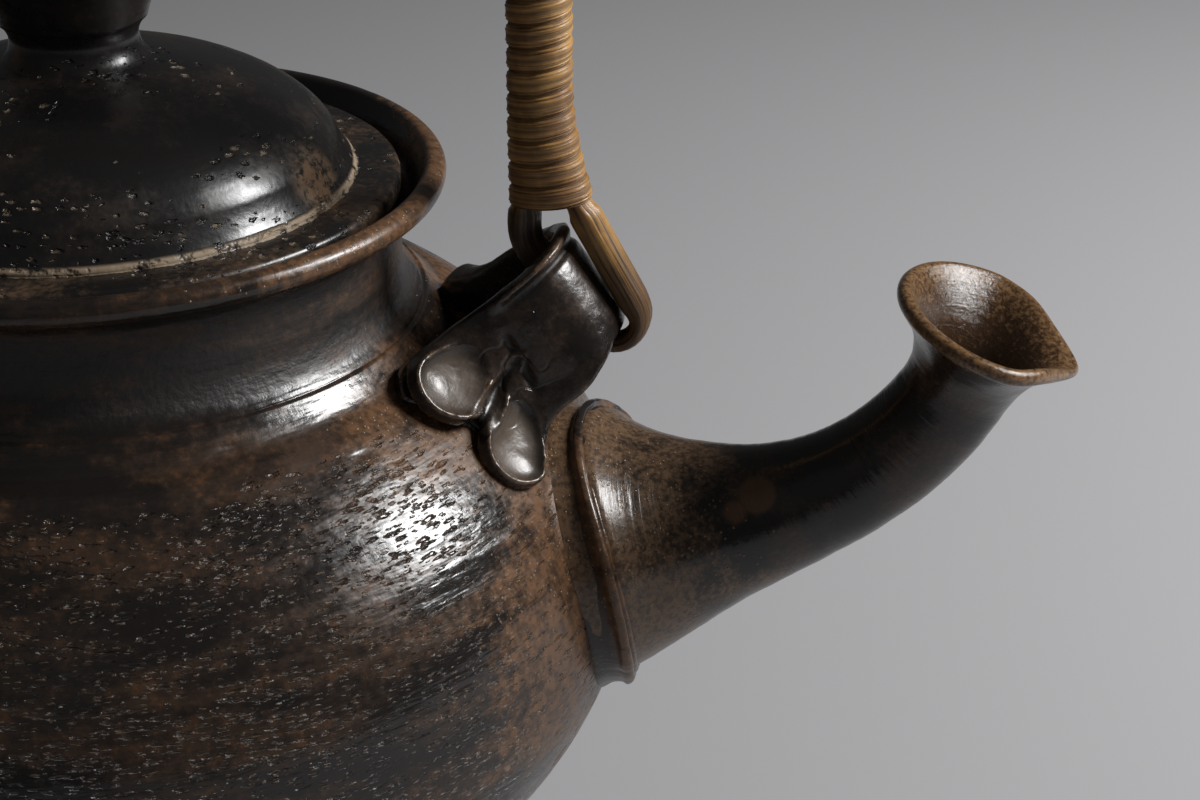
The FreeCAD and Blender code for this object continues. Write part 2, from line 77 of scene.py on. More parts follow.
def over(tree, first, second):
    return maths(tree, "DIVIDE", first, second)


# Noise runs from 0 to 1, so this moves its middle to 0
def centred(tree, value):
    return minus(tree, value, 0.5)


def vectors(tree, operation, first, second=(0, 0, 0)):
    outputs = put(tree, "ShaderNodeVectorMath", {0: first, 1: second}, operation=operation).outputs
    return outputs["Value" if operation in ("LENGTH", "DISTANCE") else "Vector"]


def scaled(tree, vector, factor):
    return put(tree, "ShaderNodeVectorMath", {0: vector, "Scale": factor}, operation="SCALE").outputs[0]


def combined(tree, x=0.0, y=0.0, z=0.0):
    return put(tree, "ShaderNodeCombineXYZ", {0: x, 1: y, 2: z}).outputs[0]


def separated(tree, vector):
    return put(tree, "ShaderNodeSeparateXYZ", {0: vector}).outputs


def ease(tree, value, low, high, toLow=0.0, toHigh=1.0):
    sockets = {0: value, 1: low, 2: high, 3: toLow, 4: toHigh}
    return put(tree, "ShaderNodeMapRange", sockets, interpolation_type="SMOOTHSTEP").outputs[0]


def noise(tree, vector, scale, detail=3.0, roughness=0.55):
    sockets = {"Vector": vector, "Scale": scale, "Detail": detail, "Roughness": roughness}
    return put(tree, "ShaderNodeTexNoise", sockets).outputs[0]


def mixed(tree, share, first, second):
    sockets = {0: share, 6: first, 7: second}
    return put(tree, "ShaderNodeMix", sockets, data_type="RGBA").outputs[2]


def rgb(red, green, blue):
    return (red, green, blue, 1.0)


# Camera at the photograph's viewing angle
view = dict(
    place=(133.2, -338.2, 258.4),
    ahead=(-0.12237, 0.89026, -0.43871),
    lens=66.86,
    sensor=36.0,
    nearest=0.01,
)


def makeCamera():
    data = bpy.data.cameras.new("camera")
    data.lens = view["lens"]
    data.sensor_width = view["sensor"]
    data.sensor_fit = "HORIZONTAL"
    data.clip_start = view["nearest"]
    camera = bpy.data.objects.new("camera", data)
    camera.location = Vector(view["place"]) * mm
    camera.rotation_euler = Vector(view["ahead"]).to_track_quat("-Z", "Y").to_euler()
    bpy.context.scene.collection.objects.link(camera)
    bpy.context.scene.camera = camera


# Soft box on the spout's side, a weak fill in front and an even grey room
studio = dict(
    keyFrom=(0.80, 0.16, 0.57),
    keyAway=0.95,
    keySize=0.32,
    keyPower=11.5,
    fillFrom=(-0.25, -0.85, 0.5),
    fillAway=1.3,
    fillSize=1.1,
    fillPower=0.15,
    aim=(0.03, 0.0, 0.1),
    room=0.05,
    floorColour=(0.40, 0.40, 0.41),
    floorReach=6.0,
    floorRough=0.9,
)


def makeLamp(name, direction, away, size, power):
    data = bpy.data.lights.new(name, "AREA")
    data.shape = "SQUARE"
    data.size = size
    data.energy = power
    lamp = bpy.data.objects.new(name, data)
    lamp.location = Vector(studio["aim"]) + Vector(direction).normalized() * away
    lamp.rotation_euler = (-Vector(direction)).to_track_quat("-Z", "Y").to_euler()
    bpy.context.scene.collection.objects.link(lamp)


def makeStudio():
    makeLamp("key", studio["keyFrom"], studio["keyAway"], studio["keySize"], studio["keyPower"])
    makeLamp("fill", studio["fillFrom"], studio["fillAway"], studio["fillSize"], studio["fillPower"])
    world = bpy.data.worlds.new("room")
    world.use_nodes = True
    backdrop = world.node_tree.nodes["Background"]
    backdrop.inputs["Color"].default_value = rgb(1.0, 1.0, 1.0)
    backdrop.inputs["Strength"].default_value = studio["room"]
    bpy.context.scene.world = world
    reach = studio["floorReach"]
    corners = [(-reach, -reach, 0), (reach, -reach, 0), (reach, reach, 0), (-reach, reach, 0)]
    mesh = bpy.data.meshes.new("floor")
    mesh.from_pydata(corners, [], [(0, 1, 2, 3)])
    floor = bpy.data.objects.new("floor", mesh)
    bpy.context.scene.collection.objects.link(floor)
    material = bpy.data.materials.new("paper")
    material.use_nodes = True
    shader = material.node_tree.nodes["Principled BSDF"]
    shader.inputs["Base Color"].default_value = rgb(*studio["floorColour"])
    shader.inputs["Roughness"].default_value = studio["floorRough"]
    mesh.materials.append(material)
    bpy.context.scene.view_settings.view_transform = "Standard"


makeCamera()
makeStudio()
print("camera, lamps and floor placed")


# Runs of profile points, in millimetres
def lineRun(start, end, step):
    start = np.array(start, float)
    end = np.array(end, float)
    count = max(1, round(np.linalg.norm(end - start) / step))
    return start + (end - start) * np.linspace(0, 1, count + 1)[:, None]


def arcRun(start, middle, end, step):
    a, b, c = (np.array(p, float) for p in (start, middle, end))
    first = 2 * (b - a)
    second = 2 * (c - a)
    centre = np.linalg.solve([first, second], [b @ b - a @ a, c @ c - a @ a])
    radius = np.linalg.norm(a - centre)
    angles = [math.atan2(p[1] - centre[1], p[0] - centre[0]) for p in (a, b, c)]
    sweep = (angles[2] - angles[0]) % (2 * math.pi)
    if (angles[1] - angles[0]) % (2 * math.pi) > sweep:
        sweep -= 2 * math.pi
    count = max(2, round(abs(sweep) * radius / step))
    turn = angles[0] + sweep * np.linspace(0, 1, count + 1)
    return centre + radius * np.stack([np.cos(turn), np.sin(turn)], 1)


def ovalRun(radius, rise, centreZ, startRadius, endRadius, step):
    ends = [math.acos(r / radius) for r in (startRadius, endRadius)]
    count = max(2, round(abs(ends[1] - ends[0]) * (radius + abs(rise)) / 2 / step))
    turn = np.linspace(ends[0], ends[1], count + 1)
    return np.stack([radius * np.cos(turn), centreZ + rise * np.sin(turn)], 1)


def chain(runs):
    points = [runs[0]]
    for run in runs[1:]:
        points.append(run[1:])
    return np.concatenate(points)


def ovalHeight(radius, rise, r):
    return rise * math.sqrt(1 - (r / radius) ** 2)


# Plain mesh objects from points in millimetres
def newPiece(name, points, faces, edges=()):
    mesh = bpy.data.meshes.new(name)
    mesh.from_pydata((np.asarray(points) * mm).tolist(), edges, faces)
    mesh.update()
    piece = bpy.data.objects.new(name, mesh)
    bpy.context.scene.collection.objects.link(piece)
    return piece


def ringFaces(rows, columns, closeRows=False):
    faces = []
    for row in range(rows if closeRows else rows - 1):
        here = row * columns
        above = (row + 1) % rows * columns
        for column in range(columns):
            beside = (column + 1) % columns
            faces.append((here + column, here + beside, above + beside, above + column))
    return faces


# Turned form from a profile that starts and ends on the axis
def turned(name, profile, segments):
    rings = profile[1:-1]
    turn = np.arange(segments) * 2 * math.pi / segments
    x = rings[:, :1] * np.cos(turn)
    y = rings[:, :1] * np.sin(turn)
    z = np.repeat(rings[:, 1:], segments, axis=1)
    points = np.stack([x, y, z], 2).reshape(-1, 3)
    points = np.vstack([points, [[0, 0, profile[0][1]], [0, 0, profile[-1][1]]]])
    faces = ringFaces(len(rings), segments)
    first = len(points) - 2
    last = first + 1
    top = (len(rings) - 1) * segments
    for column in range(segments):
        beside = (column + 1) % segments
        faces.append((first, beside, column))
        faces.append((top + column, top + beside, last))
    return newPiece(name, points, faces)


def pointsOf(piece):
    spots = np.zeros(len(piece.data.vertices) * 3, np.float32)
    piece.data.vertices.foreach_get("co", spots)
    return spots.reshape(-1, 3).astype(float) / mm


def setPoints(piece, spots):
    piece.data.vertices.foreach_set("co", (spots * mm).astype(np.float32).ravel())
    piece.data.update()


def normalsOf(piece):
    facing = np.zeros(len(piece.data.vertices) * 3, np.float32)
    piece.data.vertices.foreach_get("normal", facing)
    return facing.reshape(-1, 3).astype(float)


def mark(piece, name, values):
    layer = piece.data.attributes.new(name, "FLOAT", "POINT")
    layer.data.foreach_set("value", np.asarray(values, np.float32))


def outsideUp(piece):
    shape = bmesh.new()
    shape.from_mesh(piece.data)
    bmesh.ops.recalc_face_normals(shape, faces=shape.faces)
    shape.to_mesh(piece.data)
    shape.free()


def applied(piece):
    evaluated = piece.evaluated_get(bpy.context.evaluated_depsgraph_get())
    mesh = bpy.data.meshes.new_from_object(evaluated)
    piece.modifiers.clear()
    old = piece.data
    piece.data = mesh
    mesh.name = piece.name
    bpy.data.meshes.remove(old)


def finishPiece(piece, body, nodes, material):
    piece.data.materials.clear()
    piece.data.materials.append(material)
    piece.data.shade_smooth()
    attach(piece, body)
    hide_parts(*nodes)
    print("made", piece.name, len(piece.data.polygons), "faces")


# Geometry nodes that work the clay: lumps, throwing lines and pits, along the surface normals
def addSockets(tree, kind, names, direction="INPUT"):
    for name in names:
        tree.interface.new_socket(name, in_out=direction, socket_type="NodeSocket" + kind)


def readNamed(tree, name, kind="FLOAT"):
    return put(tree, "GeometryNodeInputNamedAttribute", {"Name": name}, data_type=kind).outputs[0]


def storeNamed(tree, geometry, name, value, kind="FLOAT"):
    sockets = {0: geometry, "Name": name, "Value": value}
    return put(tree, "GeometryNodeStoreNamedAttribute", sockets, data_type=kind, domain="POINT").outputs[0]


def endTree(tree, geometry, material):
    whole = put(tree, "GeometryNodeRealizeInstances", {0: geometry}).outputs[0]
    dressed = put(tree, "GeometryNodeSetMaterial", {"Geometry": whole, "Material": material}).outputs[0]
    put(tree, "NodeGroupOutput", {0: dressed})


# Shape of one pit: its ragged outline, its widest reach and its flat floor
pitShape = dict(raggedScale=1.5, ragged=1.1, lotRange=0.6, reach=0.5, floor=0.35)


def pitMask(tree, vector, scale, stretch, share):
    p = pitShape
    apart = vectors(tree, "MULTIPLY", vector, combined(tree, 1.0, 1.0, stretch))
    sockets = {"Vector": apart, "Scale": times(tree, scale, p["raggedScale"]), "Detail": 3.0}
    wobble = put(tree, "ShaderNodeTexNoise", sockets).outputs["Color"]
    moved = vectors(tree, "ADD", apart, scaled(tree, wobble, over(tree, p["ragged"], scale)))
    cells = put(tree, "ShaderNodeTexVoronoi", {"Vector": moved, "Scale": scale}).outputs
    lot = separated(tree, cells["Color"])[0]
    chosen = minus(tree, lot, minus(tree, 1.0, share))
    reach = ease(tree, chosen, 0.0, p["lotRange"], 0.0, p["reach"])
    slope = plus(tree, minus(tree, reach, times(tree, reach, p["floor"])), 0.001)
    depth = over(tree, minus(tree, reach, cells["Distance"]), slope)
    return put(tree, "ShaderNodeClamp", {0: depth}).outputs[0]


lineDrift = dict(scale=18.0, amount=0.004)  # throwing lines rise and fall a little on their way round


def makeClayTree():
    tree = bpy.data.node_groups.new("workedClay", "GeometryNodeTree")
    addSockets(tree, "Geometry", ["Clay"])
    addSockets(tree, "Float", ["Lump size", "Lump depth", "Line gap", "Line depth"])
    addSockets(tree, "Float", ["Pit size", "Pit stretch", "Pit depth", "Pit share"])
    addSockets(tree, "Material", ["Glaze"])
    addSockets(tree, "Geometry", ["Clay"], "OUTPUT")
    take = put(tree, "NodeGroupInput").outputs
    place = put(tree, "GeometryNodeInputPosition").outputs[0]
    lump = noise(tree, place, over(tree, 1.0, take["Lump size"]), 2.0)
    lump = times(tree, centred(tree, lump), take["Lump depth"])
    drift = times(tree, noise(tree, place, lineDrift["scale"], 1.0), lineDrift["amount"])
    level = plus(tree, readNamed(tree, "along"), drift)
    line = noise(tree, combined(tree, z=level), over(tree, 1.0, take["Line gap"]), 2.0)
    line = times(tree, centred(tree, line), take["Line depth"])
    pit = pitMask(tree, place, over(tree, 1.0, take["Pit size"]), take["Pit stretch"], take["Pit share"])
    rise = minus(tree, plus(tree, lump, line), times(tree, pit, take["Pit depth"]))
    rise = times(tree, rise, readNamed(tree, "marks"))
    facing = put(tree, "GeometryNodeInputNormal").outputs[0]
    sockets = {"Geometry": take["Clay"], "Offset": scaled(tree, facing, rise)}
    endTree(tree, put(tree, "GeometryNodeSetPosition", sockets).outputs[0], take["Glaze"])
    return tree


def runTree(piece, tree, values):
    modifier = piece.modifiers.new("nodes", "NODES")
    modifier.node_group = tree
    for item in tree.interface.items_tree:
        if item.in_out == "INPUT" and item.name in values:
            modifier[item.identifier] = values[item.name]
    applied(piece)


clayTree = makeClayTree()


def finishClay(piece, body, node, glaze, marks):
    runTree(piece, clayTree, dict(marks, Glaze=glaze))
    finishPiece(piece, body, [node], glaze)


# Shader groups shared by the glazes
def newGroup(name, inputs, outputs):
    tree = bpy.data.node_groups.new(name, "ShaderNodeTree")
    for kind, names in inputs.items():
        addSockets(tree, kind, names)
    for kind, names in outputs.items():
        addSockets(tree, kind, names, "OUTPUT")
    return tree, put(tree, "NodeGroupInput").outputs, put(tree, "NodeGroupOutput").inputs


def makePitGroup():
    inputs = {"Vector": ["Place"], "Float": ["Scale", "Stretch", "Share"]}
    tree, take, give = newGroup("glazePits", inputs, {"Float": ["Pit"]})
    join(tree, pitMask(tree, take["Place"], take["Scale"], take["Stretch"], take["Share"]), give["Pit"])
    return tree


mottleShape = dict(
    fineScale=14.0, fineShare=0.3, thin=(0.42, 0.68), fleckFine=(0.50, 0.68),
    fleckLevel=(0.50, 0.70, 0.0, 0.7), lean=3.0, warm=(0.25, 1.05), warmFrom=(0.0, 0.25), dull=0.25,
    shade=(0.38, 0.60),
)


# Iron glaze that breaks from near black to brown in streaks, and to a lighter brown where it is warm
def makeMottleGroup():
    p = mottleShape
    inputs = {"Vector": ["Place"], "Float": ["Scale", "Stretch", "Warmth"]}
    inputs["Color"] = ["Dark", "Brown", "Warm", "Rust"]
    tree, take, give = newGroup("ironMottle", inputs, {"Color": ["Colour"], "Float": ["Thin"]})
    place = vectors(tree, "MULTIPLY", take["Place"], combined(tree, 1.0, 1.0, take["Stretch"]))
    broad = noise(tree, place, take["Scale"], 6.0, 0.62)
    fine = noise(tree, take["Place"], times(tree, take["Scale"], p["fineScale"]), 4.0, 0.65)
    level = plus(tree, broad, times(tree, centred(tree, fine), p["fineShare"]))
    thin = ease(tree, level, *p["thin"])
    colour = mixed(tree, thin, take["Dark"], take["Brown"])
    fleck = times(tree, ease(tree, fine, *p["fleckFine"]), ease(tree, level, *p["fleckLevel"]))
    colour = mixed(tree, fleck, colour, take["Rust"])
    lean = times(tree, centred(tree, level), p["lean"])
    warm = ease(tree, plus(tree, take["Warmth"], lean), *p["warm"])
    warm = times(tree, warm, ease(tree, take["Warmth"], *p["warmFrom"]))
    dull = mixed(tree, p["dull"], take["Brown"], take["Warm"])
    shade = mixed(tree, ease(tree, fine, *p["shade"]), dull, take["Warm"])
    join(tree, mixed(tree, warm, colour, shade), give["Colour"])
    join(tree, maths(tree, "MAXIMUM", thin, warm), give["Thin"])
    return tree


speckEdge = (0.38, 0.22)  # where a speck fades out and where it is whole, in shares of its cell


def makeSpeckGroup():
    inputs = {"Vector": ["Place"], "Float": ["Scale", "Share"]}
    tree, take, give = newGroup("specks", inputs, {"Float": ["Speck"]})
    cells = put(tree, "ShaderNodeTexVoronoi", {"Vector": take["Place"], "Scale": take["Scale"]}).outputs
    lot = separated(tree, cells["Color"])[1]
    chosen = maths(tree, "GREATER_THAN", lot, minus(tree, 1.0, take["Share"]))
    join(tree, times(tree, chosen, ease(tree, cells["Distance"], *speckEdge)), give["Speck"])
    return tree


pitGroup = makePitGroup()
mottleGroup = makeMottleGroup()
speckGroup = makeSpeckGroup()


def grouped(tree, group, sockets):
    return put(tree, "ShaderNodeGroup", sockets, node_tree=group).outputs


def pitted(tree, place, size, share):
    sockets = {"Place": place, "Scale": size[0], "Stretch": size[1], "Share": share}
    return grouped(tree, pitGroup, sockets)["Pit"]


def specked(tree, place, scale, share):
    return grouped(tree, speckGroup, {"Place": place, "Scale": scale, "Share": share})["Speck"]


def mottled(tree, place, finish, warmth):
    scale, stretch = finish["mottle"]
    sockets = {"Place": place, "Scale": scale, "Stretch": stretch, "Warmth": warmth}
    for name in ("Dark", "Brown", "Warm", "Rust"):
        sockets[name] = finish[name.lower()]
    return grouped(tree, mottleGroup, sockets)


def newMaterial(name):
    material = bpy.data.materials.new(name)
    material.use_nodes = True
    tree = material.node_tree
    return material, tree, put(tree, "ShaderNodeTexCoord").outputs["Object"]


def attribute(tree, name):
    return put(tree, "ShaderNodeAttribute", attribute_name=name).outputs["Fac"]


def nearSpot(tree, place, spot, inner, outer):
    away = vectors(tree, "DISTANCE", place, tuple(c * mm for c in spot))
    return ease(tree, away, outer * mm, inner * mm)


def strongest(tree, masks):
    best = masks[0]
    for other in masks[1:]:
        best = maths(tree, "MAXIMUM", best, other)
    return best


def polar(tree, place):
    parts = separated(tree, place)
    return vectors(tree, "LENGTH", combined(tree, parts[0], parts[1])), parts[2]


# Adds up the masks by the amounts that a finish gives them
def summed(tree, masks, amounts, total=None, unit=1.0):
    for name, amount in amounts.items():
        part = times(tree, masks[name], amount * unit)
        total = part if total is None else plus(tree, total, part)
    return total


# Ends a material: its roughness is counted from the gloss, and its relief is in millimetres
def dress(tree, finish, colour, masks):
    shader = tree.nodes["Principled BSDF"]
    join(tree, colour, shader.inputs["Base Color"])
    join(tree, finish["ior"], shader.inputs["IOR"])
    join(tree, summed(tree, masks, finish["rough"], finish["gloss"]), shader.inputs["Roughness"])
    height = summed(tree, masks, finish["relief"], unit=mm)
    bump = put(tree, "ShaderNodeBump", {"Height": height, "Distance": 1.0, "Strength": 1.0})
    join(tree, bump.outputs[0], shader.inputs["Normal"])


# In each finish, colours come first, then gloss and relief, then the places of its marks.
# Heights and radii are in metres, and spots are a place, an inner and an outer reach in millimetres.
# A range of four numbers says where a mask starts and ends and what it gives there.
potFinish = dict(
    dark=rgb(0.013, 0.0105, 0.0095),
    brown=rgb(0.048, 0.028, 0.0175),
    warm=rgb(0.138, 0.070, 0.033),
    rust=rgb(0.105, 0.046, 0.019),
    clay=rgb(0.24, 0.16, 0.10),
    ior=1.52,
    gloss=0.17,
    rough=dict(thin=0.14, uneven=0.2, foot=0.45, pits=-0.08, neck=0.34),
    relief=dict(pits=-0.44, bitten=0.16, grit=0.16, streak=0.24, grain=0.04, specks=0.05),
    mottle=(38.0, 4.2),
    pits=(310.0, 5.0),
    grit=(620.0, 4.0),
    gritShare=0.75,
    gritTint=(0.3, 0.9, 0.0, 0.35),
    rimTint=0.28,
    # Painted shade: how much of the near black goes on the coil's outer wall
    coilShadeTint=(0.1, 0.9, 0.0, 0.9),
    speckScale=1500.0,
    speckShare=0.22,
    speckTint=0.45,
    grainScale=700.0,
    streakScale=430.0,
    streakDraw=(0.16, 0.16, 1.0),
    patchScale=34.0,
    pitPatches=(0.34, 0.54, 0.66, 1.0),
    pitsUpTo=(0.1020, 0.0970, 0.03, 0.98),
    pitsInWarm=(0.3, 1.0, 1.0, 0.72),
    pitsInCoilShade=(0.0, 0.02, 1.0, 0.25),
    lipRadius=(0.0545, 0.0570),
    lipHeight=(0.1215, 0.1250),
    lipFront=(0.030, 0.056),
    lipWarmth=1.1,
    bareFoot=(0.0042, 0.0032),
    footRagged=0.003,
    footScale=60.0,
    neckFrom=(0.1060, 0.1090),
    neckTo=(0.1235, 0.1210),
    warmSpots=(
        ((88, -20, 60), 12, 46), ((88, 20, 60), 12, 46), ((72, -22, 99), 8, 28), ((72, 22, 99), 8, 28),
        ((60, 30, 102), 8, 26), ((60, -30, 102), 2, 16),
    ),
)


def makePotGlaze():
    f = potFinish
    material, tree, place = newMaterial("potGlaze")
    radius, height = polar(tree, place)
    warm = strongest(tree, [nearSpot(tree, place, *spot) for spot in f["warmSpots"]])
    lipBreakAndLitSide = times(tree, ease(tree, radius, *f["lipRadius"]), ease(tree, height, *f["lipHeight"]))
    # The lip breaks to warm brown; as painted light, it fades out towards the front and stays on the side
    # towards the key lamp (+x)
    lipBreakAndLitSide = times(tree, lipBreakAndLitSide, ease(tree, separated(tree, place)[0], *f["lipFront"]))
    warmth = plus(tree, warm, times(tree, lipBreakAndLitSide, f["lipWarmth"]))
    mottle = mottled(tree, place, f, warmth)
    pool = attribute(tree, "pool")
    share = ease(tree, noise(tree, place, f["patchScale"]), *f["pitPatches"])
    share = times(tree, share, ease(tree, height, *f["pitsUpTo"]))
    share = times(tree, share, ease(tree, warm, *f["pitsInWarm"]))
    share = times(tree, share, ease(tree, pool, *f["pitsInCoilShade"]))
    pits = pitted(tree, place, f["pits"], share)
    grit = pitted(tree, place, f["grit"], times(tree, share, f["gritShare"]))
    specks = specked(tree, place, f["speckScale"], times(tree, warmth, f["speckShare"]))
    rim = times(tree, pits, minus(tree, 1.0, pits))
    colour = mixed(tree, times(tree, rim, f["rimTint"]), mottle["Colour"], f["clay"])
    colour = mixed(tree, ease(tree, grit, *f["gritTint"]), colour, f["clay"])
    # Painted shade: the coil's outer wall goes near black towards its foot on the belly
    colour = mixed(tree, ease(tree, pool, *f["coilShadeTint"]), colour, f["dark"])
    colour = mixed(tree, times(tree, specks, f["speckTint"]), colour, f["clay"])
    ragged = times(tree, noise(tree, place, f["footScale"]), f["footRagged"])
    foot = ease(tree, plus(tree, height, ragged), *f["bareFoot"])
    colour = mixed(tree, foot, colour, f["clay"])
    grain = noise(tree, place, f["grainScale"])
    streak = noise(tree, vectors(tree, "MULTIPLY", place, f["streakDraw"]), f["streakScale"])
    neck = times(tree, ease(tree, height, *f["neckFrom"]), ease(tree, height, *f["neckTo"]))
    masks = dict(thin=mottle["Thin"], uneven=centred(tree, grain), bitten=times(tree, grain, neck))
    masks.update(pits=pits, grit=grit, streak=streak, grain=grain, specks=specks, foot=foot, neck=neck)
    dress(tree, f, colour, masks)
    return material


lidFinish = dict(
    dark=rgb(0.0090, 0.0082, 0.0080),
    brown=rgb(0.021, 0.016, 0.0135),
    warm=rgb(0.085, 0.052, 0.031),
    rust=rgb(0.042, 0.025, 0.016),
    ochre=rgb(0.175, 0.096, 0.042),
    tan=rgb(0.24, 0.18, 0.12),
    cream=rgb(0.36, 0.30, 0.22),
    ior=1.52,
    gloss=0.25,
    rough=dict(thin=0.14, unglazed=0.35),
    relief=dict(pits=-0.36, grain=0.035, bare=0.25),
    mottle=(60.0, 1.8),
    pits=(520.0, 2.4),
    pitsUpTo=(0.1535, 0.1505, 0.1, 1.0),
    fillScale=150.0,
    filling=(0.50, 0.60, 0.0, 0.75),
    bandScale=75.0,
    pitBands=(0.40, 0.58, 0.24, 0.78),
    bandDraw=(0.5, 0.5, 2.2),
    grainScale=900.0,
    chalkScale=1200.0,
    bareFrom=(0.0439, 0.0443),
    bareTo=(0.0454, 0.0450),
    bareBelow=(0.1297, 0.1291),
    bareWander=0.0020,
    wanderScale=160.0,
    bareGapScale=260.0,
    bareGaps=(0.34, 0.50),
    flangeFrom=(0.0446, 0.0454),
    flangeBelow=(0.1315, 0.1295),
    flangeWarmth=0.55,
    ochreSpot=((40.4, -8.1, 131.4), 3.0, 8.0),
    ochreScale=420.0,
    ochrePatches=(0.36, 0.58),
)


def makeLidGlaze():
    f = lidFinish
    material, tree, place = newMaterial("lidGlaze")
    radius, height = polar(tree, place)
    wander = times(tree, centred(tree, noise(tree, place, f["wanderScale"], 5.0, 0.65)), f["bareWander"])
    ring = plus(tree, radius, wander)
    bare = times(tree, ease(tree, ring, *f["bareFrom"]), ease(tree, ring, *f["bareTo"]))
    bare = times(tree, bare, ease(tree, height, *f["bareBelow"]))
    bare = times(tree, bare, ease(tree, noise(tree, place, f["bareGapScale"]), *f["bareGaps"]))
    flange = times(tree, ease(tree, radius, *f["flangeFrom"]), ease(tree, height, *f["flangeBelow"]))
    mottle = mottled(tree, place, f, times(tree, flange, f["flangeWarmth"]))
    bands = noise(tree, vectors(tree, "MULTIPLY", place, f["bandDraw"]), f["bandScale"])
    share = ease(tree, bands, *f["pitBands"])
    share = times(tree, share, ease(tree, height, *f["pitsUpTo"]))
    pits = pitted(tree, place, f["pits"], share)
    filling = ease(tree, noise(tree, place, f["fillScale"], 2.0), *f["filling"])
    colour = mixed(tree, times(tree, pits, filling), mottle["Colour"], f["tan"])
    patchy = ease(tree, noise(tree, place, f["ochreScale"], 4.0, 0.7), *f["ochrePatches"])
    ochre = times(tree, nearSpot(tree, place, *f["ochreSpot"]), patchy)
    colour = mixed(tree, ochre, colour, f["ochre"])
    chalk = mixed(tree, noise(tree, place, f["chalkScale"]), f["ochre"], f["cream"])
    colour = mixed(tree, bare, colour, chalk)
    masks = dict(thin=mottle["Thin"], unglazed=maths(tree, "MAXIMUM", bare, ochre))
    masks.update(pits=pits, grain=noise(tree, place, f["grainScale"]), bare=bare)
    dress(tree, f, colour, masks)
    return material


spoutFinish = dict(
    dark=rgb(0.0125, 0.0102, 0.0092),
    brown=rgb(0.040, 0.025, 0.0165),
    warm=rgb(0.155, 0.092, 0.051),
    rust=rgb(0.085, 0.042, 0.020),
    spot=rgb(0.125, 0.060, 0.028),
    honey=rgb(0.225, 0.125, 0.056),
    amber=rgb(0.046, 0.023, 0.011),
    ior=1.52,
    gloss=0.18,
    rough=dict(thin=0.10, mouth=-0.09),
    relief=dict(pits=-0.2, lines=0.10, grain=0.05, specks=0.06, runny=0.12),
    mottle=(70.0, 1.0),
    pits=(700.0, 1.0),
    pitShare=0.12,
    speckScale=1400.0,
    speckShare=0.3,
    speckTint=0.5,
    spotTint=0.8,
    grainScale=800.0,
    lineScale=1300.0,
    lineWander=0.05,
    lineShare=0.25,
    runScale=1100.0,
    runShare=1.5,
    runMiddle=0.27,
    honeyFrom=(0.50, 0.90),
    footWarmth=1.2,
    warmFoot=(0.040, 0.010),
    footDrift=0.024,
    driftScale=60.0,
    mouthTint=0.9,
    mouthRagged=0.004,
    raggedScale=180.0,
    mouthFrom=(0.0845, 0.0870),
    lipwardAndLitFrom=(0.0805, 0.0870, -0.12, 0.13),
    rustSpots=(((114.5, -8.4, 79.9), 2.7, 3.7), ((111.0, -10.6, 77.6), 1.2, 2.6)),
)


def makeSpoutGlaze():
    f = spoutFinish
    material, tree, place = newMaterial("spoutGlaze")
    along = attribute(tree, "along")
    drift = times(tree, centred(tree, noise(tree, place, f["driftScale"])), f["footDrift"])
    base = ease(tree, plus(tree, along, drift), *f["warmFoot"])
    ragged = times(tree, centred(tree, noise(tree, place, f["raggedScale"], 4.0)), f["mouthRagged"])
    edge = plus(tree, along, ragged)
    mouth = maths(tree, "MAXIMUM", attribute(tree, "inside"), ease(tree, edge, *f["mouthFrom"]))
    mottle = mottled(tree, place, f, times(tree, base, f["footWarmth"]))
    rows = vectors(tree, "ADD", combined(tree, z=along), scaled(tree, place, f["lineWander"]))
    lines = noise(tree, rows, f["lineScale"])
    run = noise(tree, place, f["runScale"], 5.0, 0.75)
    # Honey glaze towards the lip, carried further into the mouth as painted light on its unlit inside
    lipwardAndLit = ease(tree, edge, *f["lipwardAndLitFrom"])
    pooled = maths(tree, "MULTIPLY_ADD", run, f["runShare"], minus(tree, lipwardAndLit, f["runMiddle"]))
    pooled = plus(tree, pooled, times(tree, lines, f["lineShare"]))
    honey = mixed(tree, ease(tree, pooled, *f["honeyFrom"]), f["amber"], f["honey"])
    colour = mixed(tree, times(tree, mouth, f["mouthTint"]), mottle["Colour"], honey)
    rustSpot = strongest(tree, [nearSpot(tree, place, *spot) for spot in f["rustSpots"]])
    colour = mixed(tree, times(tree, rustSpot, f["spotTint"]), colour, f["spot"])
    specks = specked(tree, place, f["speckScale"], times(tree, base, f["speckShare"]))
    colour = mixed(tree, times(tree, specks, f["speckTint"]), colour, f["honey"])
    masks = dict(thin=mottle["Thin"], mouth=mouth, lines=lines, specks=specks, runny=times(tree, run, mouth))
    masks.update(pits=pitted(tree, place, f["pits"], f["pitShare"]))
    masks.update(grain=noise(tree, place, f["grainScale"]))
    dress(tree, f, colour, masks)
    return material


lugFinish = dict(
    dark=rgb(0.0120, 0.0098, 0.0088),
    brown=rgb(0.034, 0.022, 0.0155),
    warm=rgb(0.110, 0.066, 0.038),
    rust=rgb(0.060, 0.034, 0.019),
    # pale: colour of the thumb-print dishes, a paler glaze with a painted sheen
    pale=rgb(0.17, 0.13, 0.10),
    ior=1.52,
    gloss=0.17,
    rough=dict(thin=0.14, crease=0.3, dish=0.16),
    relief=dict(pits=-0.25, wrinkle=-0.16, grain=0.06),
    mottle=(70.0, 1.0),
    pits=(430.0, 1.0),
    pitShare=0.2,
    dishPaleAndSheenTint=0.6,
    creaseShadeTint=0.7,
    grainScale=1000.0,
    wrinkleScale=110.0,
    wrinkleLine=(0.03, 0.0),
    wornWarmth=(0.25, 1.0, 0.0, 0.75),
    creaseShadeFrom=(-0.15, -0.8),
)


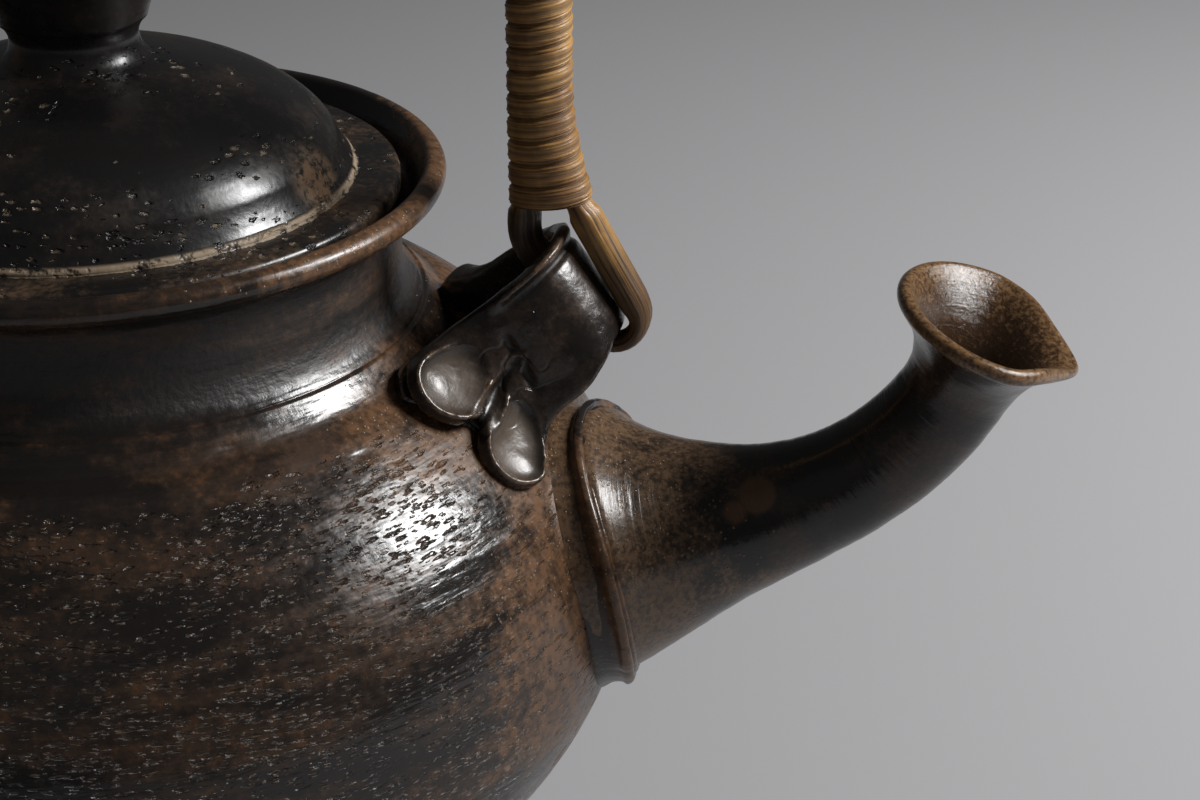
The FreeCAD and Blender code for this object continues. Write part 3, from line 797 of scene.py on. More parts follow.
def makeLugGlaze():
    f = lugFinish
    material, tree, place = newMaterial("lugGlaze")
    worn = attribute(tree, "worn")
    mottle = mottled(tree, place, f, ease(tree, worn, *f["wornWarmth"]))
    # Painted shade: the lug's hollows and creases are darkened towards near black
    crease = ease(tree, worn, *f["creaseShadeFrom"])
    wrinkle = maths(tree, "ABSOLUTE", centred(tree, noise(tree, place, f["wrinkleScale"], 1.5)))
    wrinkle = times(tree, ease(tree, wrinkle, *f["wrinkleLine"]), attribute(tree, "folded"))
    dish = attribute(tree, "dish")
    # The dishes are lighter: partly a paler glaze, partly a painted sheen
    colour = mixed(tree, times(tree, dish, f["dishPaleAndSheenTint"]), mottle["Colour"], f["pale"])
    colour = mixed(tree, times(tree, crease, f["creaseShadeTint"]), colour, f["dark"])
    masks = dict(thin=mottle["Thin"], crease=crease, dish=dish, wrinkle=wrinkle)
    masks.update(pits=pitted(tree, place, f["pits"], f["pitShare"]))
    masks.update(grain=noise(tree, place, f["grainScale"]))
    dress(tree, f, colour, masks)
    return material


caneFinish = dict(
    pale=rgb(0.50, 0.280, 0.090),
    tan=rgb(0.285, 0.138, 0.042),
    dark=rgb(0.022, 0.012, 0.007),
    sootAndShade=rgb(0.060, 0.031, 0.015),
    ior=1.5,
    gloss=0.32,
    rough=dict(groove=0.3),
    relief=dict(strand=0.3),
    broadScale=130.0,
    broadShare=0.25,
    palePatches=(0.34, 0.66),
    grooveFrom=(0.50, 0.36),
    shadeAndSootBelow=(0.1300, 0.1090, 0.0, 0.85),
    shadeAndSootPatches=(0.30, 0.55, 0.6, 1.0),
    innerShadeWithin=(0.0790, 0.0768),
    innerShadeBelow=(0.1285, 0.1255, 0.0, 0.85),
)


# Cane with its fibres along the length: one material for the whole canes and one for the split strip
def makeCane(name, fibre, lengthwise, darkness):
    f = caneFinish
    material, tree, place = newMaterial(name)
    thread = put(tree, "ShaderNodeAttribute", attribute_name="thread").outputs["Vector"]
    thread = vectors(tree, "MULTIPLY", thread, (1.0, 1.0, lengthwise))
    strand = noise(tree, thread, 1.0 / (fibre * mm), 4.0, 0.65)
    broad = noise(tree, place, f["broadScale"], 4.0, 0.6)
    colour = mixed(tree, ease(tree, broad, *f["palePatches"]), f["tan"], f["pale"])
    level = plus(tree, strand, times(tree, centred(tree, broad), f["broadShare"]))
    # Dark fibre lines from the grain, plus painted shade in the grooves of the canes and binding
    groove = maths(tree, "MAXIMUM", ease(tree, level, *f["grooveFrom"]), attribute(tree, "furrow"))
    colour = mixed(tree, times(tree, groove, darkness), colour, f["dark"])
    parts = separated(tree, place)
    # Darker towards the bottom near the hooks, in patches: soot and painted shade
    shadeAndSoot = ease(tree, parts[2], *f["shadeAndSootBelow"])
    shadeAndSoot = times(tree, shadeAndSoot, ease(tree, broad, *f["shadeAndSootPatches"]))
    colour = mixed(tree, shadeAndSoot, colour, f["sootAndShade"])
    # Painted shade: the inner canes' lower legs, behind the outer ones, are darkened
    inner = ease(tree, maths(tree, "ABSOLUTE", parts[0]), *f["innerShadeWithin"])
    inner = times(tree, inner, ease(tree, parts[2], *f["innerShadeBelow"]))
    colour = mixed(tree, inner, colour, f["dark"])
    dress(tree, f, colour, dict(groove=groove, strand=strand))
    return material


potGlaze = makePotGlaze()
lidGlaze = makeLidGlaze()
spoutGlaze = makeSpoutGlaze()
lugGlaze = makeLugGlaze()
wholeCane = makeCane("wholeCane", fibre=0.75, lengthwise=0.03, darkness=0.92)
splitCane = makeCane("splitCane", fibre=0.4, lengthwise=0.02, darkness=0.62)
print("materials made")


# Thrown pot: outside from the foot to the rim, then the seat, the bore and the cavity
pot = dict(
    bellyRadius=91.5, bellyHeight=55.5, shoulderRise=62.1, bellyDrop=64.8, footRadius=49.5, footBevel=2.2,
    wall=5.5, floorThick=6.5, ridgeRadius=55.3, ridgeBead=0.9, sweepFrom=66.0, sweepLow=60.8, sweepHigh=57.8,
    lowSlope=0.42, highSlope=1.14, sweepSteps=34, creaseRadius=55.9, creaseIn=0.5, creaseDrop=0.1,
    creaseRise=0.45, neckRadius=52.0, coveRise=9.5, coveMiddle=2.6, neckEase=1.0, neckLength=5.0,
    rimRise=11.0, rimRadius=60.0, rimUnder=4.2, rimCove=6.7, rimEase=1.4, rimLip=3.7, innerDrop=0.9,
    browIn=0.86, browDrop=0.29, seatDepth=6.0, seatRadius=53.4, bore=46.5, boreLength=17.0, throatFlare=3.5,
    portRadius=17.0, portPlace=(84.5, 0.0, 62.2), portTilt=16.0, portSides=96,
    segments=336, fineStep=0.86, rimStep=0.8, creaseStep=0.27, lipStep=0.5,
    seatWallStep=1.5, seatStep=2.0, coarseStep=6.0,
    skinFrom=0.97, skinFade=0.02, marksFrom=2.5, marksFromFade=3.0, marksTo=106.0, marksToFade=2.0,
    marksLeft=0.25, smoothInside=((107.0, 51.5), (123.0, 57.5)),
)
potMarks = {
    "Lump size": 0.030, "Lump depth": 0.0006, "Line gap": 0.0042, "Line depth": 0.00026,
    "Pit size": 0.0058, "Pit stretch": 3.4, "Pit depth": 0.00022, "Pit share": 0.45,
}


# The shoulder flattens a little, then turns up to the crease
def shoulderSweep():
    p = pot
    radii = np.linspace(p["sweepFrom"], p["creaseRadius"], p["sweepSteps"])
    share = radii / p["bellyRadius"]
    slope = p["shoulderRise"] / p["bellyRadius"] * share / np.sqrt(1 - share ** 2)
    for start, end, goal in (("sweepFrom", "sweepLow", "lowSlope"), ("sweepLow", "sweepHigh", "highSlope")):
        part = np.clip((p[start] - radii) / (p[start] - p[end]), 0, 1)
        slope += (p[goal] - slope) * part ** 2 * (3 - 2 * part)
    rise = np.concatenate([[0], np.cumsum((slope[1:] + slope[:-1]) / 2 * -np.diff(radii))])
    startZ = p["bellyHeight"] + ovalHeight(p["bellyRadius"], p["shoulderRise"], p["sweepFrom"])
    return np.stack([radii, startZ + rise], 1)


def potProfile():
    p = pot
    fine = p["fineStep"]
    rimStep = p["rimStep"]
    coarse = p["coarseStep"]
    belly = (p["bellyRadius"], p["bellyHeight"])
    footEdge = belly[0] * math.sqrt(1 - ((belly[1] - p["footBevel"]) / p["bellyDrop"]) ** 2)
    ridgeEdge = p["ridgeRadius"] + p["ridgeBead"]
    ridgeZ = belly[1] + ovalHeight(belly[0], p["shoulderRise"], ridgeEdge)
    neckLow = ridgeZ + p["coveRise"]
    neckHigh = neckLow + p["neckLength"]
    rimZ = neckHigh + p["rimRise"]
    seatZ = rimZ - p["seatDepth"]
    sweep = shoulderSweep()
    crease = (p["creaseRadius"] - p["creaseIn"], sweep[-1][1] - p["creaseDrop"])
    neckFoot = (crease[0] - p["creaseIn"] / 2, crease[1] + p["creaseRise"])
    neck = p["neckRadius"]
    under = (p["rimRadius"] - p["rimUnder"] / 2, rimZ - p["rimUnder"])
    rimEdge = (p["rimRadius"], rimZ - p["rimUnder"] / 2)
    crown = (p["rimRadius"] - p["rimLip"] / 2, rimZ)
    innerLip = (p["rimRadius"] - p["rimLip"], rimZ - p["innerDrop"])
    brow = (p["rimRadius"] - p["rimLip"] * p["browIn"], rimZ - p["innerDrop"] * p["browDrop"])
    outside = [
        lineRun((0, 0), (p["footRadius"], 0), coarse),
        lineRun((p["footRadius"], 0), (footEdge, p["footBevel"]), fine),
        ovalRun(belly[0], -p["bellyDrop"], belly[1], footEdge, belly[0], fine),
        ovalRun(belly[0], p["shoulderRise"], belly[1], belly[0], p["sweepFrom"], fine),
        sweep,
        lineRun(sweep[-1], crease, p["creaseStep"]),
        lineRun(crease, neckFoot, p["creaseStep"]),
        arcRun(neckFoot, (neck + p["neckEase"], neckFoot[1] + p["coveMiddle"]), (neck, neckLow), rimStep),
        lineRun((neck, neckLow), (neck, neckHigh), rimStep),
        arcRun((neck, neckHigh), (neck + p["rimEase"], rimZ - p["rimCove"]), under, rimStep),
        arcRun(under, rimEdge, crown, p["lipStep"]),
    ]
    hollow = belly[0] - p["wall"]
    hollowRise = p["shoulderRise"] - p["wall"]
    hollowDrop = p["bellyDrop"] - p["wall"]
    throat = p["bore"] + p["throatFlare"]
    throatZ = belly[1] + ovalHeight(hollow, hollowRise, throat)
    floorEdge = hollow * math.sqrt(1 - ((belly[1] - p["floorThick"]) / hollowDrop) ** 2)
    inside = [
        arcRun(crown, brow, innerLip, p["lipStep"]),
        lineRun(innerLip, (p["seatRadius"], seatZ), p["seatWallStep"]),
        lineRun((p["seatRadius"], seatZ), (p["bore"], seatZ), p["seatStep"]),
        lineRun((p["bore"], seatZ), (p["bore"], seatZ - p["boreLength"]), coarse),
        lineRun((p["bore"], seatZ - p["boreLength"]), (throat, throatZ), coarse),
        ovalRun(hollow, hollowRise, belly[1], throat, hollow, coarse),
        ovalRun(hollow, -hollowDrop, belly[1], hollow, floorEdge, coarse),
        lineRun((floorEdge, p["floorThick"]), (0, p["floorThick"]), coarse),
    ]
    return chain(outside), chain(inside)


def cutPort(piece):
    p = pot
    tilt = math.radians(p["portTilt"])
    axis = np.array([math.cos(tilt), 0, math.sin(tilt)])
    up = np.array([-math.sin(tilt), 0, math.cos(tilt)])
    sides = p["portSides"]
    turn = np.arange(sides) * 2 * math.pi / sides
    ring = np.outer(np.cos(turn), (0, 1, 0)) + np.outer(np.sin(turn), up)
    reach = 3 * p["wall"]
    ends = [np.array(p["portPlace"]) + ring * p["portRadius"] + axis * side for side in (-reach, reach)]
    faces = ringFaces(2, sides) + [tuple(reversed(range(sides))), tuple(range(sides, 2 * sides))]
    drill = newPiece("drill", np.vstack(ends), faces)
    cut = piece.modifiers.new("port", "BOOLEAN")
    cut.operation = "DIFFERENCE"
    cut.object = drill
    cut.solver = "FAST"
    applied(piece)
    bpy.data.objects.remove(drill)


def makePot():
    p = pot
    outside, inside = potProfile()
    piece = turned("potWall", np.vstack([outside, inside[1:]]), p["segments"])
    cutPort(piece)
    spots = pointsOf(piece)
    height = spots[:, 2]
    radius = np.hypot(spots[:, 0], spots[:, 1])
    shell = (radius / p["bellyRadius"]) ** 2
    rise = height - p["bellyHeight"]
    shell += np.where(rise > 0, rise / p["shoulderRise"], rise / p["bellyDrop"]) ** 2
    belly = np.clip((shell - p["skinFrom"]) / p["skinFade"], 0, 1)
    belly *= np.clip((height - p["marksFrom"]) / p["marksFromFade"], 0, 1)
    belly *= np.clip((p["marksTo"] - height) / p["marksToFade"], p["marksLeft"], 1)
    for above, within in p["smoothInside"]:
        belly[(height > above) & (radius < within)] = 0
    mark(piece, "marks", belly)
    mark(piece, "along", height * mm)
    finishClay(piece, "pot", "pot_body", potGlaze, potMarks)


makePot()


# Lid and knob, turned
lid = dict(
    base=124.3, flangeThick=4.0, edge=52.2, edgeRound=1.2, edgeBevel=0.8, stepRadius=44.9, step=0.4, foot=0.6,
    coveRadius=43.2, coveRise=2.3, domeRadius=43.2, domeRise=20.8, domeEdge=41.9, wall=4.6, collar=45.7,
    collarThick=4.0, collarLength=9.5, collarDraft=0.6, segments=440, fineStep=0.55, coarseStep=5.0,
    edgeStep=0.3, stepStep=0.2, coveStep=0.35,
    skinFrom=0.95, marksFrom=0.2, marksFade=0.4,
)
lidMarks = {
    "Lump size": 0.022, "Lump depth": 0.0004, "Line gap": 0.0022, "Line depth": 0.00016,
    "Pit size": 0.0026, "Pit stretch": 2.0, "Pit depth": 0.00025, "Pit share": 0.16,
}


def lidProfile():
    p = lid
    fine = p["fineStep"]
    coarse = p["coarseStep"]
    top = p["base"] + p["flangeThick"]
    dome = top + p["foot"]
    hollow = p["domeRadius"] - p["wall"]
    hollowRise = p["domeRise"] - p["wall"]
    domeEdge = (p["domeEdge"], dome + ovalHeight(p["domeRadius"], p["domeRise"], p["domeEdge"]))
    cove = (p["coveRadius"], dome + p["coveRise"])
    step = (p["stepRadius"], top + p["step"])
    edgeIn = p["edge"] - p["edgeRound"]
    edgeSide = top - p["edgeRound"]
    roundMiddle = p["edgeRound"] * (1 - math.sqrt(0.5))
    edgeBend = (p["edge"] - roundMiddle, top - roundMiddle)
    collarEnd = p["base"] - p["collarLength"]
    collarInner = (p["collar"] - p["collarThick"] + p["collarDraft"], collarEnd)
    collarOuter = (p["collar"] - p["collarDraft"], collarEnd)
    runs = [
        ovalRun(hollow, hollowRise, dome, 0, hollow, coarse),
        lineRun((hollow, dome), (hollow, p["base"]), coarse),
        lineRun((hollow, p["base"]), collarInner, coarse),
        lineRun(collarInner, collarOuter, coarse),
        lineRun(collarOuter, (p["collar"], p["base"]), coarse),
        lineRun((p["collar"], p["base"]), (p["edge"] - p["edgeBevel"], p["base"]), coarse),
        lineRun((p["edge"] - p["edgeBevel"], p["base"]), (p["edge"], p["base"] + p["edgeBevel"]), fine),
        lineRun((p["edge"], p["base"] + p["edgeBevel"]), (p["edge"], edgeSide), fine),
        arcRun((p["edge"], edgeSide), edgeBend, (edgeIn, top), p["edgeStep"]),
        lineRun((edgeIn, top), (p["stepRadius"], top), fine),
        lineRun((p["stepRadius"], top), step, p["stepStep"]),
        arcRun(step, cove, domeEdge, p["coveStep"]),
        ovalRun(p["domeRadius"], p["domeRise"], dome, p["domeEdge"], 0, fine),
    ]
    return chain(runs)


def makeLid():
    p = lid
    piece = turned("lidDome", lidProfile(), p["segments"])
    spots = pointsOf(piece)
    height = spots[:, 2]
    radius = np.hypot(spots[:, 0], spots[:, 1])
    top = p["base"] + p["flangeThick"]
    dome = top + p["foot"]
    outer = np.clip((height - top + p["marksFrom"]) / p["marksFade"], 0, 1)
    skin = (radius / p["domeRadius"]) ** 2 + (np.maximum(height - dome, 0) / p["domeRise"]) ** 2
    mark(piece, "marks", outer * (skin > p["skinFrom"]))
    mark(piece, "along", radius * mm)
    finishClay(piece, "lid", "lid", lidGlaze, lidMarks)


# Each rise is counted from the top of the dome, each drop from the top of the knob
knob = dict(
    domeTop=149.7, height=19.6, footRadius=13.4, footDrop=0.5, coveRadius=11.0, coveRise=0.6,
    waistRadius=10.5, waistRise=3.4, ledgeBend=11.2, ledgeBendRise=4.9, ledgeRadius=12.2, ledgeRise=5.9,
    neckRadius=13.3, neckRise=9.0, headRadius=15.6, headRise=13.6, browRadius=14.2, browDrop=2.6,
    shoulderRadius=10.1, shoulderDrop=0.6, crownRadius=6.5, crownDrop=0.15, flat=3.0, sunk=1.6,
    segments=220, step=0.5, baseStep=4.0,
    marksFrom=1.0, marksFade=2.0, marksTo=0.4, marksLeft=0.3,
)
knobMarks = {
    "Lump size": 0.014, "Lump depth": 0.00035, "Line gap": 0.0016, "Line depth": 0.00018,
    "Pit size": 0.0022, "Pit stretch": 2.0, "Pit depth": 0.00020, "Pit share": 0.12,
}


def makeKnob():
    p = knob
    dome = lid["base"] + lid["flangeThick"] + lid["foot"]
    top = p["domeTop"] + p["height"]
    footZ = dome + ovalHeight(lid["domeRadius"], lid["domeRise"], p["footRadius"]) - p["footDrop"]
    waist = (p["waistRadius"], p["domeTop"] + p["waistRise"])
    ledge = (p["ledgeRadius"], p["domeTop"] + p["ledgeRise"])
    head = (p["headRadius"], p["domeTop"] + p["headRise"])
    shoulder = (p["shoulderRadius"], top - p["shoulderDrop"])
    step = p["step"]
    profile = chain([
        lineRun((0, footZ - p["sunk"]), (p["footRadius"], footZ - p["sunk"]), p["baseStep"]),
        lineRun((p["footRadius"], footZ - p["sunk"]), (p["footRadius"], footZ), step),
        arcRun((p["footRadius"], footZ), (p["coveRadius"], p["domeTop"] + p["coveRise"]), waist, step),
        arcRun(waist, (p["ledgeBend"], p["domeTop"] + p["ledgeBendRise"]), ledge, step),
        arcRun(ledge, (p["neckRadius"], p["domeTop"] + p["neckRise"]), head, step),
        arcRun(head, (p["browRadius"], top - p["browDrop"]), shoulder, step),
        arcRun(shoulder, (p["crownRadius"], top - p["crownDrop"]), (p["flat"], top), step),
        lineRun((p["flat"], top), (0, top), step),
    ])
    piece = turned("lidKnob", profile, p["segments"])
    height = pointsOf(piece)[:, 2]
    marks = np.clip((height - footZ - p["marksFrom"]) / p["marksFade"], 0, 1)
    marks *= np.clip(top - p["marksTo"] - height, p["marksLeft"], 1)
    mark(piece, "marks", marks)
    mark(piece, "along", height * mm)
    finishClay(piece, "lid", "lid_knob", lidGlaze, knobMarks)


makeLid()
makeKnob()


# Bell curve of height 1
def hump(value, middle, spread):
    return np.exp(-((value - middle) / spread) ** 2)


# Halves the range between low and high until it closes on where the test stops being true
def closedIn(low, high, steps, test):
    for step in range(steps):
        middle = (low + high) / 2
        before = test(middle)
        low = np.where(before, middle, low)
        high = np.where(before, high, middle)
    return high


# Spout: sections along a straight run and a bend, opening into the lip and its beak
spout = dict(
    root=(84.5, 62.2), rise=16.0, straight=27.0, bendRadius=60.0, end=71.0, neck=3.0, throat=8.8, swell=17.3,
    swellMiddle=15.5, swellFade=11.5, footFlare=3.9, footAt=(10.5, 2.25, 5.25), footFade=5.2, footSide=0.75,
    wall=2.2, lipWall=2.7, lipFade=3.0, flareLength=17.0, flarePower=2.2, halfWidth=21.6, back=17.5,
    front=13.4, frontFlare=12.0, beak=4.0, beakSpread=22.0, beakDip=1.3, droop=1.7, cheekRise=0.8,
    cheekAt=50.0, cheekSpread=17.0, beakThin=0.5, thinSpread=1.4, thinRun=14.0,
    arch=1.0, archAt=36.0, archSpread=16.0,
    columns=220, outerRows=170, lipRows=14, innerRows=70, bury=0.6, footFrom=-14.0, footTo=30.0,
    searchSteps=40, nearRun=0.05, nearTurn=0.01,
    marksFade=4.0, marksLip=0.35, marksInside=0.3, insideFrom=1.0,
)
spoutMarks = {
    "Lump size": 0.016, "Lump depth": 0.0005, "Line gap": 0.0030, "Line depth": 0.00030,
    "Pit size": 0.0024, "Pit stretch": 1.0, "Pit depth": 0.00018, "Pit share": 0.08,
}


def spoutLength():
    p = spout
    return p["straight"] + p["bendRadius"] * math.radians(p["end"] - p["rise"]) + p["neck"]


def degreesFromFront(turn):
    return np.degrees(np.abs(np.arctan2(np.sin(turn), np.cos(turn))))


def spoutPoints(run, turn):
    p = spout
    rise = math.radians(p["rise"])
    bend = np.clip((run - p["straight"]) / p["bendRadius"], 0, math.radians(p["end"]) - rise)
    beyond = run - p["straight"] - bend * p["bendRadius"]
    angle = rise + bend
    hubX = p["root"][0] + math.cos(rise) * p["straight"] - math.sin(rise) * p["bendRadius"]
    hubZ = p["root"][1] + math.sin(rise) * p["straight"] + math.cos(rise) * p["bendRadius"]
    centreX = hubX + np.sin(angle) * p["bendRadius"] + np.cos(angle) * beyond
    centreZ = hubZ - np.cos(angle) * p["bendRadius"] + np.sin(angle) * beyond
    centreZ = centreZ + p["arch"] * hump(run, p["archAt"], p["archSpread"])
    tube = p["throat"] + p["swell"] / (1 + np.exp((run - p["swellMiddle"]) / p["swellFade"]))
    upper = np.minimum(1, p["footSide"] - p["footSide"] * np.cos(turn))
    brink = p["footAt"][0] - p["footAt"][1] * np.cos(turn) - p["footAt"][2] * np.cos(turn) ** 2
    tube = tube + p["footFlare"] * upper * np.exp(-np.maximum(run - brink, 0) / p["footFade"])
    facing = np.maximum(0.0, np.cos(turn)) ** 2
    flare = p["flareLength"] + (p["frontFlare"] - p["flareLength"]) * facing
    opened = np.maximum(0.0, 1 + (run - spoutLength()) / flare) ** p["flarePower"]
    fromFront = degreesFromFront(turn)
    reach = np.where(np.cos(turn) > 0, p["front"], p["back"])
    beak = hump(fromFront, 0, p["beakSpread"])
    cheek = hump(fromFront, p["cheekAt"], p["cheekSpread"])
    along = (tube + (reach - tube) * opened) * np.cos(turn) + p["beak"] * opened * beak
    sideways = (tube + (p["halfWidth"] - tube) * opened) * np.sin(turn)
    lift = p["cheekRise"] * cheek - p["cheekRise"] - p["beakDip"] * beak - p["droop"] * facing
    lift = opened ** 2 * lift
    x = centreX + np.sin(angle) * along + np.cos(angle) * lift
    z = centreZ - np.cos(angle) * along + np.sin(angle) * lift
    return np.stack(np.broadcast_arrays(x, sideways, z), -1)


# Point, direction along the spout and outward normal of its outer skin
def spoutSkin(run, turn):
    step = spout["nearRun"]
    swing = spout["nearTurn"]
    point = spoutPoints(run, turn)
    ahead = spoutPoints(run + step, turn) - spoutPoints(run - step, turn)
    beside = spoutPoints(run, turn + swing) - spoutPoints(run, turn - swing)
    ahead /= np.linalg.norm(ahead, axis=-1, keepdims=True)
    normal = np.cross(ahead, beside)
    normal /= np.linalg.norm(normal, axis=-1, keepdims=True)
    across = point - spoutPoints(run, turn + math.pi)
    return point, ahead, normal * np.sign((normal * across).sum(-1, keepdims=True))


# How far a point is outside the belly's oval, as a share of its radius
def outsideBelly(spots):
    rise = spots[..., 2] - pot["bellyHeight"]
    height = np.where(rise > 0, rise / pot["shoulderRise"], rise / pot["bellyDrop"])
    return np.sqrt((spots[..., 0] ** 2 + spots[..., 1] ** 2) / pot["bellyRadius"] ** 2 + height ** 2) - 1


def spoutFoot(turn, inset):
    p = spout
    sunk = -p["bury"] / pot["bellyRadius"]

    def buried(run):
        point, ahead, normal = spoutSkin(run, turn)
        return outsideBelly(point - normal * inset) < sunk

    low = np.full_like(turn, p["footFrom"])
    high = np.full_like(turn, p["footTo"])
    return closedIn(low, high, p["searchSteps"], buried)


def makeSpout():
    p = spout
    length = spoutLength()
    turn = np.arange(p["columns"]) * 2 * math.pi / p["columns"]
    slender = 1 - p["beakThin"] * hump(degreesFromFront(turn), 0, p["thinSpread"] * p["beakSpread"])
    half = p["lipWall"] / 2
    rows = []
    runs = []
    insides = []

    def addRow(points, run, inside):
        rows.append(points)
        runs.append(run * np.ones_like(turn))
        insides.append(np.full_like(turn, inside))

    outerFoot = spoutFoot(turn, 0.0)
    innerFoot = spoutFoot(turn, p["wall"])
    brink = length - half
    for share in np.linspace(0, 1, p["outerRows"]):
        run = outerFoot + (brink - outerFoot) * share
        addRow(spoutPoints(run, turn), run, 0.0)
    point, ahead, normal = spoutSkin(brink * np.ones_like(turn), turn)
    for bend in np.linspace(0, math.pi, p["lipRows"] + 2)[1:-1]:
        roll = ahead * half * math.sin(bend) - normal * half * (1 - math.cos(bend))
        roll *= slender[:, None]
        addRow(point + roll, brink + half * math.sin(bend), float(bend > p["insideFrom"]))
    for share in np.linspace(0, 1, p["innerRows"]):
        run = brink + (innerFoot - brink) * share
        point, ahead, normal = spoutSkin(run, turn)
        thick = p["wall"] + (p["lipWall"] - p["wall"]) * hump(run, brink, p["lipFade"])
        thick *= 1 + (slender - 1) * np.clip(1 - (brink - run) / p["thinRun"], 0, 1)
        addRow(point - normal * thick[:, None], run, 1.0)
    piece = newPiece("spoutTube", np.concatenate(rows), ringFaces(len(rows), p["columns"], True))
    runs = np.concatenate(runs)
    insides = np.concatenate(insides)
    mark(piece, "along", runs * mm)
    mark(piece, "inside", insides)
    fade = np.clip((length - runs) / p["marksFade"], p["marksLip"], 1)
    mark(piece, "marks", np.where(insides > 0.5, p["marksInside"], fade))
    finishClay(piece, "pot", "spout", spoutGlaze, spoutMarks)


makeSpout()


# Coil of clay round the spout's foot, scored into two ridges
coil = dict(
    run=3.6, lift=1.0, tilt=3.0, outer=24.8, height=6.6, heightLow=0.2, heightEnds=1.2, lean=0.25,
    columns=300, around=60, searchReach=40.0, searchSteps=40, coilShadeLeast=0.03, coilShadeHigh=1.6,
    coilShadeFall=1.8, coilShadeWithin=1.2,
    section=(
        (0.3, -0.10), (0.9, 0.30), (0.8, 0.62), (0.3, 0.82), (0.5, 0.95), (1.0, 0.99), (1.5, 0.92),
        (1.8, 0.90), (2.2, 0.97), (2.8, 0.97), (3.3, 0.86), (4.2, 0.62), (5.6, 0.30), (6.0, -0.10),
    ),
)
coilMarks = {
    "Lump size": 0.011, "Lump depth": 0.0009, "Line gap": 0.004, "Line depth": 0.0,
    "Pit size": 0.0020, "Pit stretch": 1.0, "Pit depth": 0.00018, "Pit share": 0.2,
}


def smoothLoop(corners, count):
    corners = np.array(corners, float)
    share = np.arange(count) * len(corners) / count
    index = share.astype(int)
    t = (share - index)[:, None]
    a, b, c, d = (corners[(index + k) % len(corners)] for k in (-1, 0, 1, 2))
    squared = (2 * a - 5 * b + 4 * c - d) * t ** 2
    cubed = (3 * b - a - 3 * c + d) * t ** 3
    return 0.5 * (2 * b + (c - a) * t + squared + cubed)


def onBelly(start, axis):
    limit = np.full(len(start), coil["searchReach"])

    def within(reach):
        return outsideBelly(start + np.outer(reach, axis)) < 0

    away = closedIn(-limit, limit, coil["searchSteps"], within)
    return start + np.outer(away, axis)


def bellyNormal(spots):
    rise = spots[:, 2] - pot["bellyHeight"]
    rise = np.where(rise > 0, rise / pot["shoulderRise"] ** 2, rise / pot["bellyDrop"] ** 2)
    across = spots[:, :2] / pot["bellyRadius"] ** 2
    normal = np.column_stack([across, rise])
    return normal / np.linalg.norm(normal, axis=1)[:, None]


def flatDirection(degrees):
    return np.array([math.cos(math.radians(degrees)), 0, math.sin(math.radians(degrees))])


def makeCoil():
    p = coil
    rise = spout["rise"]
    root = np.array([spout["root"][0], 0, spout["root"][1]])
    middle = root + flatDirection(rise) * p["run"] + flatDirection(rise + 90) * p["lift"]
    axis = flatDirection(rise + p["tilt"])
    up = flatDirection(rise + p["tilt"] + 90)
    section = smoothLoop(p["section"], p["around"])
    away = p["outer"] - section[:, 0]
    rows = []
    for turn in np.arange(p["columns"]) * 2 * math.pi / p["columns"]:
        outward = np.array([0, math.cos(turn), 0]) + up * math.sin(turn)
        base = onBelly(middle + np.outer(away, outward), axis)
        height = p["height"] - p["heightLow"] * math.sin(turn) - p["heightEnds"] * math.sin(turn) ** 2
        lean = bellyNormal(base) * p["lean"] + axis * (1 - p["lean"])
        rows.append(base + lean * (section[:, 1] * height)[:, None])
    piece = newPiece("spoutCoil", np.concatenate(rows), ringFaces(len(rows), p["around"], True))
    spots = pointsOf(piece)
    mark(piece, "marks", np.ones(len(spots)))
    mark(piece, "along", spots[:, 2] * mm)
    # Painted shade on the coil's outer wall, strongest low down by the belly
    corner = np.clip(p["coilShadeHigh"] - section[:, 1] * p["coilShadeFall"], p["coilShadeLeast"], 1)
    corner = np.where(section[:, 0] < p["coilShadeWithin"], corner, p["coilShadeLeast"])
    mark(piece, "pool", np.tile(corner, len(rows)))
    outsideUp(piece)
    finishClay(piece, "pot", "spout_coil", potGlaze, coilMarks)


makeCoil()


# Lugs: a strap of clay with a bead along its inner edge, pressed out into two thumb prints at each foot
lug = dict(
    radius=64.2, rise=26.7, slope=55.0, innerWidth=9.4, outerWidth=10.0, thick=4.0, footThick=1.0,
    square=0.62, crestRadius=10.5, lean=77.0, leg=6.0, toeRadius=9.5, toeAngle=35.0, lobeRun=31.0,
    lobeRadius=7.2, lobeApart=7.4, lobeShift=5.8, notchRun=1.0, settle=0.55, settleFrom=17.0,
    footDeep=5.0, footFrom=0.65,
    eyeRoom=0.8, eyeFade=(4.0, 10.0), edgeRound=2.4, edgeLeast=0.03, points=120, steps=110,
    upperEnd=(15.0, 20.0), bead=1.3, beadAt=-0.93, beadWidth=0.10, beadFrom=(0.0, 6.0), groove=0.7,
    grooveAt=-0.74, grooveWidth=0.07, outerRoll=1.2, rollFrom=(3.0, 10.0), rollTo=(19.0, 28.0),
    wing=1.7, wingAt=13.0, wingSpread=5.0,
    dish=2.2, dishWide=6.0, dishOut=5.8, dishUp=7.4, dishPower=0.75, dishAbove=0.3,
    brim=0.55, brimAt=1.04, brimWidth=0.14, brimFrom=(-6.5, -2.5),
    notch=2.2, notchWide=1.4, notchFrom=(19.0, 26.0),
    crease=0.9, creaseRun=19.5, creaseSlant=0.1, creaseWidth=0.9, creaseTo=(4.0, 9.0),
    foldAfter=3.0, foldWidth=6.0, foldTo=(5.0, 12.0), knuckle=1.5, knuckleReach=3.0, knuckleLean=(0.9, 0.4),
    grain=0.34, relax=0.5, relaxSteps=4, near=0.004, sink=0.7, wearRange=0.03, wearSteps=3,
    searchDeep=45.0, searchSteps=30,
)
